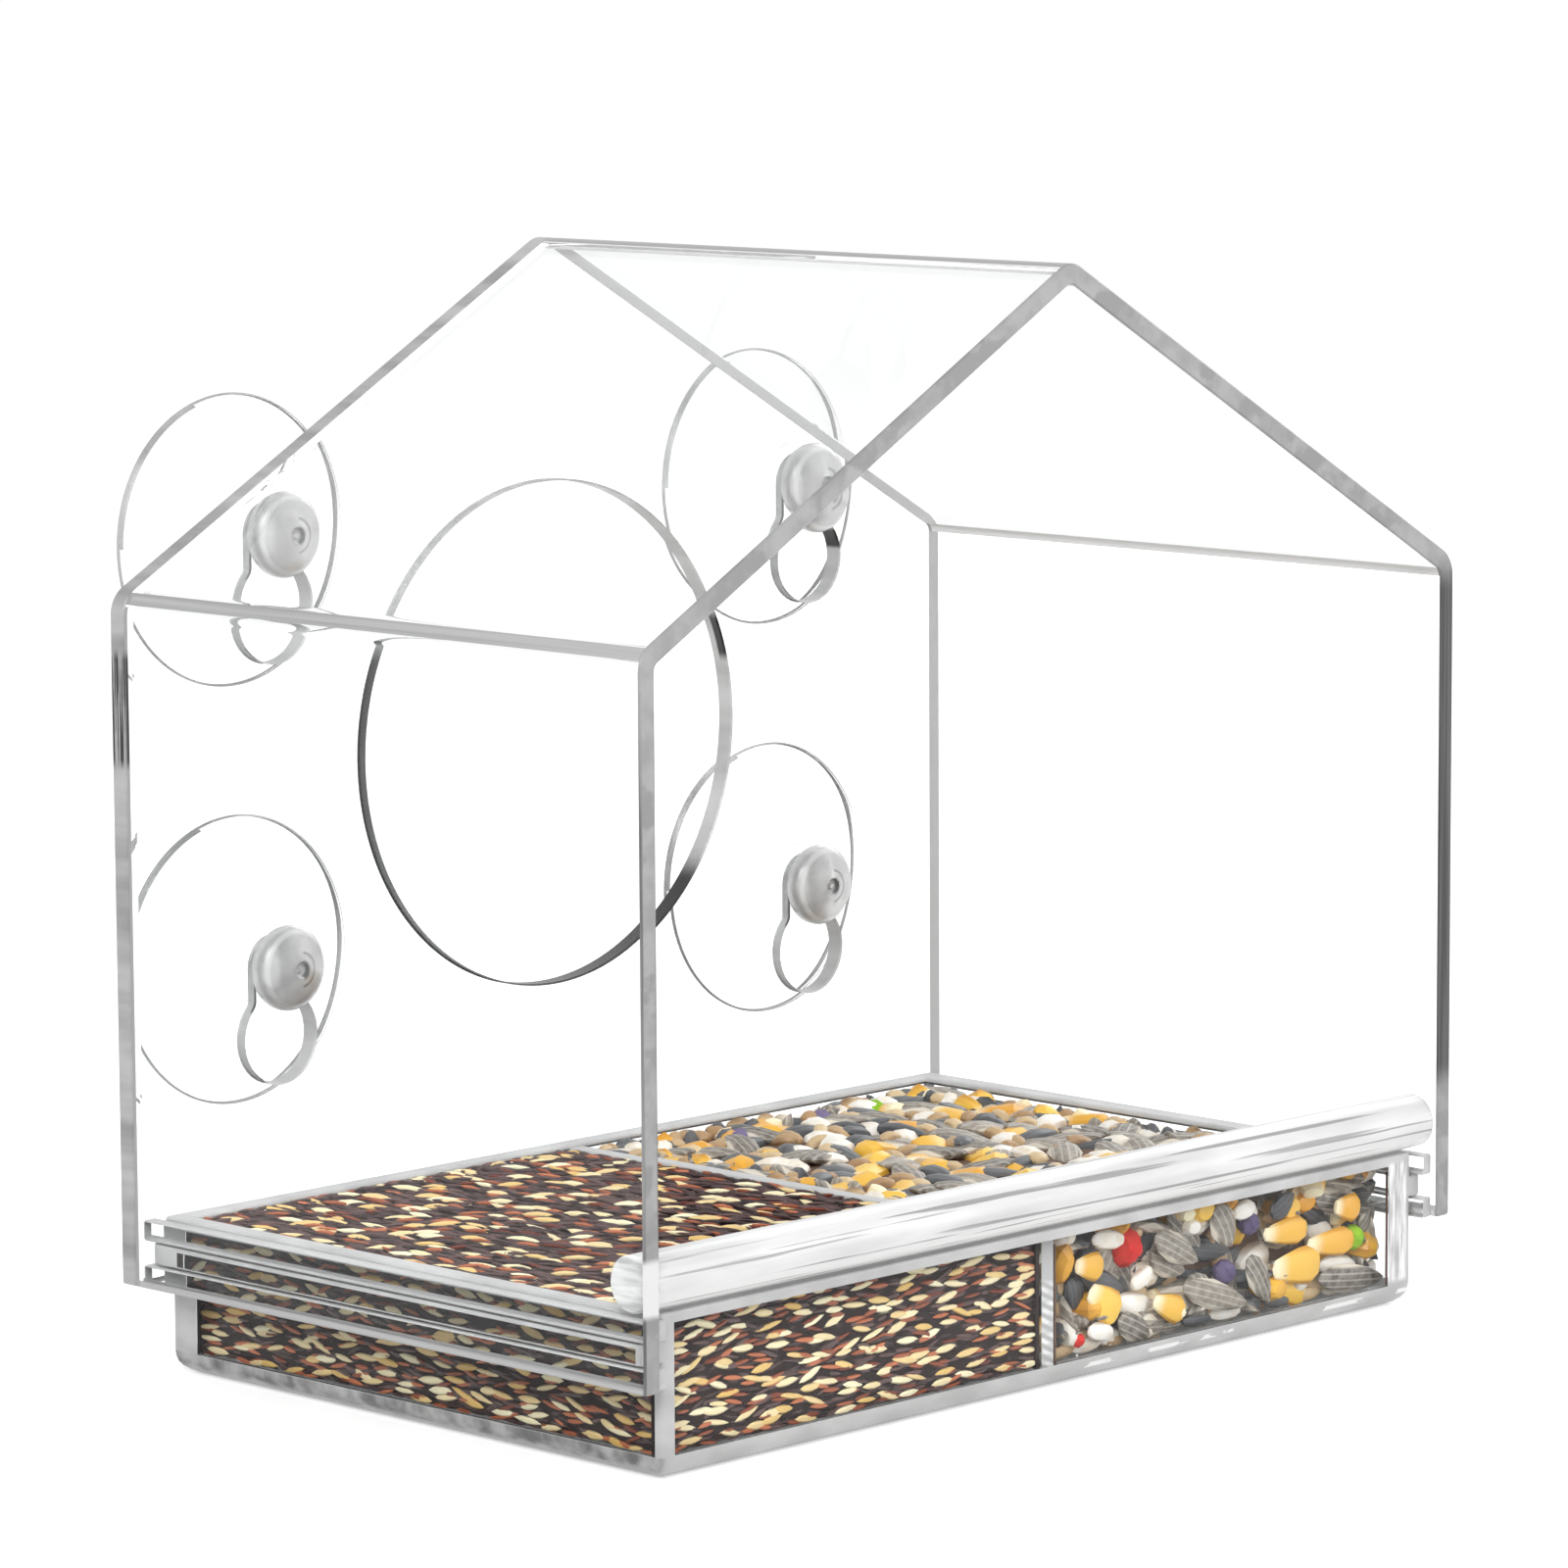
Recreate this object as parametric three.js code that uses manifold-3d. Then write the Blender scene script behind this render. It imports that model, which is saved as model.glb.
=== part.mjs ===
import * as THREE from 'three';
import { mergeVertices } from 'three/addons/utils/BufferGeometryUtils.js';
import Module from 'manifold-3d';

// Window bird feeder of clear acrylic, in millimetres: +Z up, +Y towards the window, -X on the left.
// One sheet is heat-bent into two walls and a gable roof, and a panel closes the side at the window.
// A two-part seed tray slides out to the front between rails, and four suction cups hang in keyholes.

// House: a bent sheet with a panel cemented to its rear edges
const HOUSE_WIDTH = 170;
const HOUSE_DEPTH = 108;
const EAVE_HEIGHT = 99.8;
const ROOF_RISE = 48.3;
const SHEET = 3;
const BEND_RADIUS = 1.5;

// Round opening in the rear panel, through which the window is seen
const OPENING_DIAMETER = 75;
const OPENING_BELOW_EAVE = 28;

// Suction cups: one moulding with a bell, a neck and a button head
const CUP_DIAMETER = 43;
const CUP_REACH = 8.5;
const CUP_HOLLOW = 5.3;
const CUP_LAND = 1.2;
const CUP_LIP = 0.6;
const CUP_COLLAR_DIAMETER = 12.4;
const CUP_COLLAR_STEP = 1.1;
const CUP_NECK_DIAMETER = 8.4;
const HEAD_DIAMETER = 12.6;
const HEAD_LENGTH = 4.6;
const HEAD_EDGE = 0.8;
const HEAD_DIMPLE_RADIUS = 1.3;
const HEAD_DIMPLE_DEPTH = 0.8;
const HEAD_WIDEST_SHARE = 0.36;
const CUP_CLEARANCE = 0.3;
const CUP_INSET = 30;
const CUP_DROP = 62;
const CUP_ROOF_CLEARANCE = 0.7;

// Keyholes: the head passes the round part, then the neck is pushed up into the slot
const KEYHOLE_CLEARANCE = 0.5;
const KEYHOLE_TRAVEL = 10.5;
const KEYHOLE_FILLET = 2;

// Rails cemented inside each wall, with the tray's flange between a lower and an upper one
const RAIL_HEIGHT = 3;
const RAIL_WIDTH = 2.2;
const RAIL_INSET = 1;
const SLIDE_CLEARANCE = 0.3;

// Seed tray: one moulding, with a cemented divider
const TRAY_WALL = 3;
const TRAY_FLOOR = 2.6;
const TRAY_DROP = 13.2;
const TRAY_RIM = 0.4;
const TRAY_FRONT_INSET = 2.8;
const TRAY_REAR_GAP = 1.5;
const TRAY_OUTER_CORNER = 1;
const TRAY_INNER_CORNER = 0.5;
const TRAY_INNER_FILLET = 0.8;
const FLANGE_THICKNESS = 3;
const DIVIDER_THICKNESS = 3;
const DIVIDER_BELOW_RIM = 0.5;
const DIVIDER_CORNER = 1.2;
const DRAIN_DIAMETER = 2.5;
const DRAIN_PITCH = 22;
const DRAIN_MARGIN = 9;

// Perch: a solid rod between the walls
const PERCH_DIAMETER = 8;
const PERCH_SETBACK = 4.5;
const PERCH_CLEARANCE = 0.4;

// Facets: the largest gap between a true arc and its chords, and the counts round revolved forms
const ARC_TOLERANCE = 0.04;
const CUP_SIDES = 36;
const ROD_SIDES = 40;
const DRAIN_SIDES = 10;
const PROFILE_STEPS = 6;
const HEAD_STEPS = 4;
const CORNER_STEPS = 4;

// How far a cutter reaches past the faces that it cuts
const OVERRUN = 1;

// Sizes that follow from those above; y is 0 at the panel's window side, z is 0 at the walls' lower edge
const halfWidth = HOUSE_WIDTH / 2;
const innerHalfWidth = halfWidth - SHEET;
const slope = Math.atan2(ROOF_RISE, halfWidth);
const roofThickness = SHEET / Math.cos(slope);
const outerBend = BEND_RADIUS + SHEET;
const panelFront = -SHEET;
const houseFront = -HOUSE_DEPTH;

const lowerRailTop = RAIL_HEIGHT;
const flangeBottom = lowerRailTop + SLIDE_CLEARANCE;
const flangeTop = flangeBottom + FLANGE_THICKNESS;
const upperRailBottom = flangeTop + SLIDE_CLEARANCE;
const upperRailTop = upperRailBottom + RAIL_HEIGHT;

const trayRim = upperRailTop + TRAY_RIM;
const trayHalfWidth = innerHalfWidth - RAIL_WIDTH - SLIDE_CLEARANCE;
const flangeHalfWidth = innerHalfWidth - SLIDE_CLEARANCE;
const trayFront = houseFront + TRAY_FRONT_INSET;
const trayRear = panelFront - TRAY_REAR_GAP;
const trayFloorTop = TRAY_FLOOR - TRAY_DROP;

const cupX = halfWidth - CUP_INSET;
const headRadius = HEAD_DIAMETER / 2;
const neckRadius = CUP_NECK_DIAMETER / 2;
const roofUndersideAtCup = EAVE_HEIGHT + CUP_INSET * Math.tan(slope) - roofThickness;
const upperCupZ = roofUndersideAtCup - (headRadius + CUP_ROOF_CLEARANCE) / Math.cos(slope);
const lowerCupZ = upperCupZ - CUP_DROP;

const acrylic = { color: 0xe9eef0, roughness: 0.06, metalness: 0, transparent: true, opacity: 0.35 };
const frostedRod = { color: 0xf0f2f2, roughness: 0.22, metalness: 0, transparent: true, opacity: 0.6 };
const softVinyl = { color: 0xe4e7e7, roughness: 0.28, metalness: 0, transparent: true, opacity: 0.5 };

const wasm = await Module();
wasm.setup();

function piece(name, geometry, look) {
  const mesh = new THREE.Mesh(geometry, new THREE.MeshStandardMaterial(look));
  mesh.name = name;
  return mesh;
}

// Points along an arc, as many as the tolerance asks for; a negative turn runs clockwise
function arc(centreX, centreY, radius, start, turn) {
  const step = 2 * Math.acos(Math.max(0, 1 - ARC_TOLERANCE / radius));
  const count = Math.max(2, Math.ceil(Math.abs(turn) / step));
  return Array.from({ length: count + 1 }, (_, i) => {
    const angle = start + (turn * i) / count;
    return new THREE.Vector2(centreX + radius * Math.cos(angle), centreY + radius * Math.sin(angle));
  });
}

// Closed outline through corners [x, y, radius], each rounded by an arc that touches both its sides
function roundedOutline(corners) {
  return corners.flatMap(([x, y, radius], i) => {
    const corner = new THREE.Vector2(x, y);
    if (radius === 0) return [corner];
    const [beforeX, beforeY] = corners.at(i - 1);
    const [afterX, afterY] = corners[(i + 1) % corners.length];
    const arriving = corner.clone().sub(new THREE.Vector2(beforeX, beforeY)).normalize();
    const leaving = new THREE.Vector2(afterX, afterY).sub(corner).normalize();
    const turn = Math.atan2(arriving.cross(leaving), arriving.dot(leaving));
    const start = corner.clone().addScaledVector(arriving, -radius * Math.tan(Math.abs(turn) / 2));
    const inward = new THREE.Vector2(-arriving.y, arriving.x).multiplyScalar(Math.sign(turn));
    const centre = start.clone().addScaledVector(inward, radius);
    const from = start.clone().sub(centre).angle();
    return arc(centre.x, centre.y, radius, from, turn);
  });
}

// Extrudes an outline drawn in X and Z from the plane y = rear towards the front
function extrudeForward(outline, holes, depth, rear) {
  const shape = new THREE.Shape(outline);
  shape.holes = holes.map((points) => new THREE.Path(points));
  const geometry = new THREE.ExtrudeGeometry(shape, { depth, bevelEnabled: false });
  return geometry.rotateX(Math.PI / 2).translate(0, rear, 0);
}

// Outside of walls and roof from the left wall's foot over the ridge to the right wall's foot
function houseCorners(inset, bend) {
  const half = halfWidth - inset;
  const down = inset / Math.cos(slope);
  const eave = EAVE_HEIGHT + inset * Math.tan(slope) - down;
  const ridge = EAVE_HEIGHT + ROOF_RISE - down;
  return [[half, 0, 0], [half, eave, bend], [0, ridge, bend], [-half, eave, bend], [-half, 0, 0]];
}

function houseShell() {
  const outside = houseCorners(0, outerBend);
  const inside = houseCorners(SHEET, BEND_RADIUS).reverse();
  const outline = roundedOutline([...outside, ...inside]);
  return extrudeForward(outline, [], HOUSE_DEPTH - SHEET, panelFront);
}

// Keyhole outline: a round part, a slot above it, and a fillet on each side where they join
function keyhole(x, cupZ) {
  const z = cupZ - KEYHOLE_TRAVEL;
  const round = headRadius + KEYHOLE_CLEARANCE;
  const slot = neckRadius + CUP_CLEARANCE;
  const across = slot + KEYHOLE_FILLET;
  const up = Math.sqrt((round + KEYHOLE_FILLET) ** 2 - across ** 2);
  const lean = Math.atan2(up, across);
  return [
    ...arc(x, cupZ, slot, 0, Math.PI),
    ...arc(x - across, z + up, KEYHOLE_FILLET, 0, -lean),
    ...arc(x, z, round, Math.PI - lean, Math.PI + 2 * lean),
    ...arc(x + across, z + up, KEYHOLE_FILLET, Math.PI + lean, -lean),
  ];
}

function backPanel() {
  const openingZ = EAVE_HEIGHT - OPENING_BELOW_EAVE;
  const opening = arc(0, openingZ, OPENING_DIAMETER / 2, 0, 2 * Math.PI).slice(1);
  const keyholes = [upperCupZ, lowerCupZ].flatMap((z) => [keyhole(-cupX, z), keyhole(cupX, z)]);
  return extrudeForward(roundedOutline(houseCorners(0, outerBend)), [opening, ...keyholes], SHEET, 0);
}

// Strip inside one wall; side is -1 on the left and 1 on the right
function rail(name, side, bottom) {
  const length = HOUSE_DEPTH - SHEET - RAIL_INSET;
  const x = side * (innerHalfWidth - RAIL_WIDTH / 2);
  const mesh = piece(name, new THREE.BoxGeometry(RAIL_WIDTH, length, RAIL_HEIGHT), acrylic);
  mesh.position.set(x, panelFront - length / 2, bottom + RAIL_HEIGHT / 2);
  return mesh;
}

function perchRod() {
  const radius = PERCH_DIAMETER / 2;
  const rod = new THREE.CylinderGeometry(radius, radius, 2 * innerHalfWidth, ROD_SIDES);
  const mesh = piece('perch_rod', rod.rotateZ(Math.PI / 2), frostedRod);
  mesh.position.set(0, houseFront + PERCH_SETBACK, trayRim + PERCH_CLEARANCE + radius);
  return mesh;
}

// Ring of the tray at one height: a rectangle with rounded corners, counter-clockwise from above. The
// corners get sharper with the inset, down to those of the inside.
function trayRing(inset, half, z) {
  const corner = Math.max(TRAY_OUTER_CORNER - inset, TRAY_INNER_CORNER);
  const right = half - inset - corner;
  const front = trayFront + inset + corner;
  const rear = trayRear - inset - corner;
  const centres = [[right, rear], [-right, rear], [-right, front], [right, front]];
  return centres.flatMap(([x, y], quarter) => Array.from({ length: CORNER_STEPS + 1 }, (_, i) => {
    const angle = (quarter + i / CORNER_STEPS) * (Math.PI / 2);
    return new THREE.Vector3(x + corner * Math.cos(angle), y + corner * Math.sin(angle), z);
  }));
}

// Closed solid through rings with equal counts of points, flat at both ends
function solidThroughRings(rings) {
  const count = rings[0].length;
  const middle = (ring) => ring.reduce((sum, p) => sum.add(p), new THREE.Vector3()).divideScalar(count);
  const points = [...rings.flat(), middle(rings[0]), middle(rings.at(-1))];
  const firstMiddle = points.length - 2;
  const lastMiddle = points.length - 1;
  const lastStart = (rings.length - 1) * count;
  const index = [];
  for (let i = 0; i < count; i += 1) {
    const next = (i + 1) % count;
    index.push(firstMiddle, next, i, lastMiddle, lastStart + i, lastStart + next);
    for (let below = 0; below < lastStart; below += count) {
      const above = below + count;
      index.push(below + i, below + next, above + next, below + i, above + next, above + i);
    }
  }
  return new THREE.BufferGeometry().setFromPoints(points).setIndex(index);
}

// Rings of a quarter-round edge at the foot of the moulding or of its inside
function edgeRings(half, baseInset, radius, bottom, rising) {
  const rings = Array.from({ length: CORNER_STEPS + 1 }, (_, i) => {
    const angle = (i / CORNER_STEPS) * (Math.PI / 2);
    const inset = baseInset + radius * (1 - Math.sin(angle));
    return trayRing(inset, half, bottom + radius * (1 - Math.cos(angle)));
  });
  return rising ? rings : rings.reverse();
}

function trayMoulding() {
  const outerFillet = TRAY_INNER_FILLET + TRAY_FLOOR;
  return solidThroughRings([
    ...edgeRings(trayHalfWidth, 0, outerFillet, -TRAY_DROP, true),
    trayRing(0, trayHalfWidth, flangeBottom),
    trayRing(0, flangeHalfWidth, flangeBottom),
    trayRing(0, flangeHalfWidth, flangeTop),
    trayRing(0, trayHalfWidth, flangeTop),
    trayRing(0, trayHalfWidth, trayRim),
    trayRing(TRAY_WALL, trayHalfWidth, trayRim),
    ...edgeRings(trayHalfWidth, TRAY_WALL, TRAY_INNER_FILLET, trayFloorTop, false),
  ]);
}

// Centres of the holes along one direction, evenly spread between two margins
function drainPlaces(from, to) {
  const span = to - from - 2 * DRAIN_MARGIN;
  const gaps = Math.max(1, Math.round(span / DRAIN_PITCH));
  return Array.from({ length: gaps + 1 }, (_, i) => from + DRAIN_MARGIN + (span * i) / gaps);
}

function drainCutters() {
  const radius = DRAIN_DIAMETER / 2;
  const inside = trayHalfWidth - TRAY_WALL;
  const columns = drainPlaces(DIVIDER_THICKNESS / 2, inside).flatMap((x) => [-x, x]);
  const rows = drainPlaces(trayFront + TRAY_WALL, trayRear - TRAY_WALL);
  const height = TRAY_FLOOR + 2 * OVERRUN;
  const middle = trayFloorTop - TRAY_FLOOR / 2;
  return columns.flatMap((x) => rows.map((y) => {
    const cutter = new THREE.CylinderGeometry(radius, radius, height, DRAIN_SIDES);
    return cutter.rotateX(Math.PI / 2).translate(x, y, middle);
  }));
}

function toSolid(geometry) {
  const bare = geometry.clone();
  bare.deleteAttribute('normal');
  bare.deleteAttribute('uv');
  const merged = mergeVertices(bare);
  const vertProperties = new Float32Array(merged.attributes.position.array);
  const triVerts = new Uint32Array(merged.index.array);
  return new wasm.Manifold(new wasm.Mesh({ numProp: 3, vertProperties, triVerts }));
}

function toGeometry(solid) {
  const mesh = solid.getMesh();
  const geometry = new THREE.BufferGeometry();
  geometry.setAttribute('position', new THREE.BufferAttribute(mesh.vertProperties, mesh.numProp));
  return geometry.setIndex(new THREE.BufferAttribute(mesh.triVerts, 1));
}

function seedTray() {
  const moulding = toSolid(trayMoulding());
  const drained = drainCutters().reduce((solid, cutter) => solid.subtract(toSolid(cutter)), moulding);
  return piece('seed_tray', toGeometry(drained), acrylic);
}

// Upright plate across the middle of the tray, its lower corners cut round to clear the moulded fillets
function trayDivider() {
  const front = trayFront + TRAY_WALL;
  const rear = trayRear - TRAY_WALL;
  const top = trayRim - DIVIDER_BELOW_RIM;
  const foot = [[front, trayFloorTop, DIVIDER_CORNER], [rear, trayFloorTop, DIVIDER_CORNER]];
  const outline = roundedOutline([...foot, [rear, top, 0], [front, top, 0]]);
  const options = { depth: DIVIDER_THICKNESS, bevelEnabled: false };
  const plate = new THREE.ExtrudeGeometry(new THREE.Shape(outline), options);
  plate.rotateX(Math.PI / 2).rotateZ(Math.PI / 2).translate(-DIVIDER_THICKNESS / 2, 0, 0);
  return piece('tray_divider', plate, acrylic);
}

// Bell from its lip at the window to the collar: a shallow bowl, thinner towards the lip
function bellProfile() {
  const radius = CUP_DIAMETER / 2;
  const land = radius - CUP_LAND;
  const collar = CUP_COLLAR_DIAMETER / 2;
  const collarEnd = CUP_CLEARANCE + CUP_COLLAR_STEP;
  const lipFront = CUP_REACH - CUP_LIP;
  const steps = Array.from({ length: PROFILE_STEPS + 1 }, (_, i) => i / PROFILE_STEPS);
  const hollow = steps.map((share) => [land * share, CUP_REACH - CUP_HOLLOW * (1 - share ** 2)]);
  const face = steps.map((share) => {
    const r = radius + (collar - radius) * share;
    const rise = (r ** 2 - collar ** 2) / (radius ** 2 - collar ** 2);
    return [r, collarEnd + (lipFront - collarEnd) * rise];
  });
  return [...hollow, [radius, CUP_REACH], ...face, [collar, CUP_CLEARANCE]];
}

// Neck through the panel and the button head, with a rounded edge and a dimple in the middle
function headProfile() {
  const seat = panelFront - CUP_CLEARANCE;
  const widest = seat - HEAD_LENGTH * HEAD_WIDEST_SHARE;
  const end = seat - HEAD_LENGTH;
  const edge = headRadius - HEAD_EDGE;
  const last = Math.acos(HEAD_DIMPLE_RADIUS / headRadius);
  const steps = Array.from({ length: HEAD_STEPS + 1 }, (_, i) => i / HEAD_STEPS);
  const back = steps.map((share) => {
    const angle = share * (Math.PI / 2);
    return [edge + HEAD_EDGE * Math.sin(angle), seat + (widest - seat) * (1 - Math.cos(angle))];
  });
  const dome = steps.slice(1).map((share) => (
    [headRadius * Math.cos(share * last), widest + (end - widest) * Math.sin(share * last)]
  ));
  const bottom = end + HEAD_DIMPLE_DEPTH;
  const neck = [[neckRadius, CUP_CLEARANCE], [neckRadius, seat]];
  return [...neck, ...back, ...dome, [HEAD_DIMPLE_RADIUS / 2, bottom], [0, bottom]];
}

function suctionCup(name, x, z) {
  const profile = [...bellProfile(), ...headProfile()].map(([r, y]) => new THREE.Vector2(r, y));
  const mesh = piece(name, new THREE.LatheGeometry(profile.reverse(), CUP_SIDES), softVinyl);
  mesh.position.set(x, 0, z);
  return mesh;
}

const feeder = new THREE.Group();
feeder.position.set(0, (HOUSE_DEPTH - CUP_REACH) / 2, TRAY_DROP);

const house = new THREE.Group();
house.add(
  piece('house_shell', houseShell(), acrylic),
  piece('back_panel', backPanel(), acrylic),
  rail('lower_rail_left', -1, 0),
  rail('lower_rail_right', 1, 0),
  rail('upper_rail_left', -1, upperRailBottom),
  rail('upper_rail_right', 1, upperRailBottom),
  perchRod(),
);

const tray = new THREE.Group();
tray.add(seedTray(), trayDivider());

const cups = new THREE.Group();
for (const [height, z] of [['upper', upperCupZ], ['lower', lowerCupZ]]) {
  for (const [side, x] of [['left', -cupX], ['right', cupX]]) {
    cups.add(suctionCup(`suction_cup_${height}_${side}`, x, z));
  }
}

feeder.add(house, tray, cups);

export default feeder;
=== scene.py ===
"""Looks of a window bird feeder: clear acrylic house, seed tray, perch, suction cups and seed."""

import math

import bpy
import numpy as np
from mathutils import Matrix, Vector
from mathutils.geometry import tessellate_polygon


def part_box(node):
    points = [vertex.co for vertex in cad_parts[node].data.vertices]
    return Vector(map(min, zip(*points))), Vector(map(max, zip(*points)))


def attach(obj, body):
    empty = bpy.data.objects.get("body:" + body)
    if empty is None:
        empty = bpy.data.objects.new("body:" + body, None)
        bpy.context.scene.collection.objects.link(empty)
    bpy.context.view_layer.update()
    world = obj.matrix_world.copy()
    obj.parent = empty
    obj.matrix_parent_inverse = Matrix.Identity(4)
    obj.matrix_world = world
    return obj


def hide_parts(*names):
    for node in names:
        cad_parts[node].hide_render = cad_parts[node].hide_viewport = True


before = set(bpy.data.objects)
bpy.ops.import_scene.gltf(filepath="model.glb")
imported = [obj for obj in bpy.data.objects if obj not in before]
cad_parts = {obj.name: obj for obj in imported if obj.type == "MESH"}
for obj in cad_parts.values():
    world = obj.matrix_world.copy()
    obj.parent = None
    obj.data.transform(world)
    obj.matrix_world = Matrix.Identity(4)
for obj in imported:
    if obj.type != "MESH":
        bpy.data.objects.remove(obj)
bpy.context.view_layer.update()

# Camera: the photograph was taken from about a metre away, to the left of the open front and a
# little above it. The point it looks at lies in the middle of the house.
MM = 0.001
CAMERA_YAW = math.radians(45.504)
CAMERA_PITCH = math.radians(7.683)
CAMERA_ROLL = math.radians(-0.331)
CAMERA_DISTANCE = 1013.1 * MM
CAMERA_AIM = (0, -4.25 * MM, 13.2 * MM)
CAMERA_AIM_RIGHT = -2.41 * MM
CAMERA_AIM_UP = 68.65 * MM
CAMERA_LENS = 157.36


def camera_axes(yaw, pitch, roll):
    """Right, up and forward of a camera that looks along +Y turned by yaw and tipped down by pitch."""
    forward = Vector((math.sin(yaw) * math.cos(pitch), math.cos(yaw) * math.cos(pitch), -math.sin(pitch)))
    level = Vector((math.cos(yaw), -math.sin(yaw), 0))
    above = level.cross(forward)
    right = level * math.cos(roll) + above * math.sin(roll)
    return right, right.cross(forward), forward


right, up, forward = camera_axes(CAMERA_YAW, CAMERA_PITCH, CAMERA_ROLL)
aim = Vector(CAMERA_AIM) + right * CAMERA_AIM_RIGHT + up * CAMERA_AIM_UP
camera = bpy.data.objects.new("camera", bpy.data.cameras.new("camera"))
camera.data.lens = CAMERA_LENS
camera.data.clip_start = 0.01
camera_turn = Matrix((right, up, -forward)).transposed().to_4x4()
camera.matrix_world = Matrix.Translation(aim - forward * CAMERA_DISTANCE) @ camera_turn
bpy.context.collection.objects.link(camera)
bpy.context.scene.camera = camera
bpy.context.scene.view_settings.view_transform = "Standard"

# Studio: a pale floor, an even white surround that the plastic reflects, and three soft boxes: one
# high on the left, a weaker one low on the right, and one behind on the right.
SURROUND_LIGHT = 0.62
FLOOR_COLOUR = 0.86
FLOOR_LIFT = 0.48
FLOOR_HALF = 60.0
FLOOR_GAP = 0.05 * MM
DULL = 0.9
LIGHT_BOUNCES = 32
# Each soft box's place, its size and its power in watts
SOFT_BOXES = {
    "key_light": ((-1.05, -0.7, 0.9), 0.7, 9.5),
    "fill_light": ((0.7, -1.1, 0.4), 0.9, 5.5),
    "back_light": ((1.25, 0.45, 0.8), 0.8, 3.5),
}
STUDIO_MIDDLE = Vector((0, 0, 0.07))


def linked(tree, source, target):
    """Joins a socket to an input, or sets the input where the source is a plain value."""
    if isinstance(source, bpy.types.NodeSocket):
        tree.links.new(source, target)
    else:
        target.default_value = source


def maths(tree, operation, *values, clamp=False):
    """Output of a Math node on sockets or numbers."""
    node = tree.nodes.new("ShaderNodeMath")
    node.operation = operation
    node.use_clamp = clamp
    for value, socket in zip(values, node.inputs):
        linked(tree, value, socket)
    return node.outputs[0]


def seen_not_lit(tree):
    """1 for rays that are seen, straight, mirrored or through glass, and 0 for those that light a surface."""
    path = tree.nodes.new("ShaderNodeLightPath")
    direct = maths(tree, "MAXIMUM", path.outputs["Is Camera Ray"], path.outputs["Is Glossy Ray"])
    seen = maths(tree, "MAXIMUM", direct, path.outputs["Is Transmission Ray"])
    unlit = maths(tree, "LESS_THAN", path.outputs["Diffuse Depth"], 0.5)
    return maths(tree, "MULTIPLY", seen, unlit)


def new_shader(name, values):
    """New material, its node tree and its Principled shader, with these plain values on its sockets."""
    material = bpy.data.materials.new(name)
    material.use_nodes = True
    tree = material.node_tree
    shader = tree.nodes["Principled BSDF"]
    for socket, value in values.items():
        shader.inputs[socket].default_value = value
    return material, tree, shader


world = bpy.data.worlds.new("studio")
bpy.context.scene.world = world
world.use_nodes = True
background = world.node_tree.nodes["Background"]
background.inputs["Color"].default_value = (1, 1, 1, 1)
seen = seen_not_lit(world.node_tree)
strength = maths(world.node_tree, "MULTIPLY_ADD", seen, 1 - SURROUND_LIGHT, SURROUND_LIGHT)
world.node_tree.links.new(strength, background.inputs["Strength"])

floor_mesh = bpy.data.meshes.new("floor")
floor_corners = [
    (x * FLOOR_HALF, y * FLOOR_HALF, -FLOOR_GAP) for x, y in ((-1, -1), (1, -1), (1, 1), (-1, 1))
]
floor_mesh.from_pydata(floor_corners, [], [(0, 1, 2, 3)])
floor = bpy.data.objects.new("floor", floor_mesh)
bpy.context.collection.objects.link(floor)
paper, paper_tree, paper_shader = new_shader("floor_paper", {
    "Base Color": (FLOOR_COLOUR, FLOOR_COLOUR, FLOOR_COLOUR, 1),
    "Roughness": DULL,
    "Specular IOR Level": 0,
    "Emission Color": (1, 1, 1, 1),
})
lift = maths(paper_tree, "MULTIPLY", seen_not_lit(paper_tree), FLOOR_LIFT)
paper_tree.links.new(lift, paper_shader.inputs["Emission Strength"])
floor_mesh.materials.append(paper)

for name, (place, size, power) in SOFT_BOXES.items():
    lamp = bpy.data.lights.new(name, "AREA")
    lamp.size = size
    lamp.energy = power
    box = bpy.data.objects.new(name, lamp)
    box.location = place
    box.rotation_euler = (STUDIO_MIDDLE - Vector(place)).to_track_quat("-Z", "Y").to_euler()
    bpy.context.collection.objects.link(box)

scene_limits = bpy.context.scene.cycles
scene_limits.max_bounces = LIGHT_BOUNCES
scene_limits.transmission_bounces = LIGHT_BOUNCES
scene_limits.glossy_bounces = LIGHT_BOUNCES
scene_limits.transparent_max_bounces = LIGHT_BOUNCES

# Bent sheet: both walls and both roof slopes are one 3 mm acrylic sheet, heat-bent at the eaves and
# the ridge. Its faces are polished and clear. Its sawn edges and its bends are painted grey: a painted
# reflection of the darker room, at the sawn edges partly their own frosting.
SHEET = 3 * MM
BEND_RADIUS = 1.5 * MM
EAVE_HEIGHT = 99.8 * MM
ROOF_RISE = 48.3 * MM
ARRIS = 0.25 * MM
CEMENT_GAP = 0.03 * MM
BEND_STEPS = 16
SHARP_ANGLE = math.radians(28)
ACRYLIC_IOR = 1.49
SHEET_IOR = 1.4
FAR_IOR = 1.06
CLEAR_MIRROR = (0.05, 0.05, 0.05, 1)
FAR_MIRROR = (1, 1, 1, 1)
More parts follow.
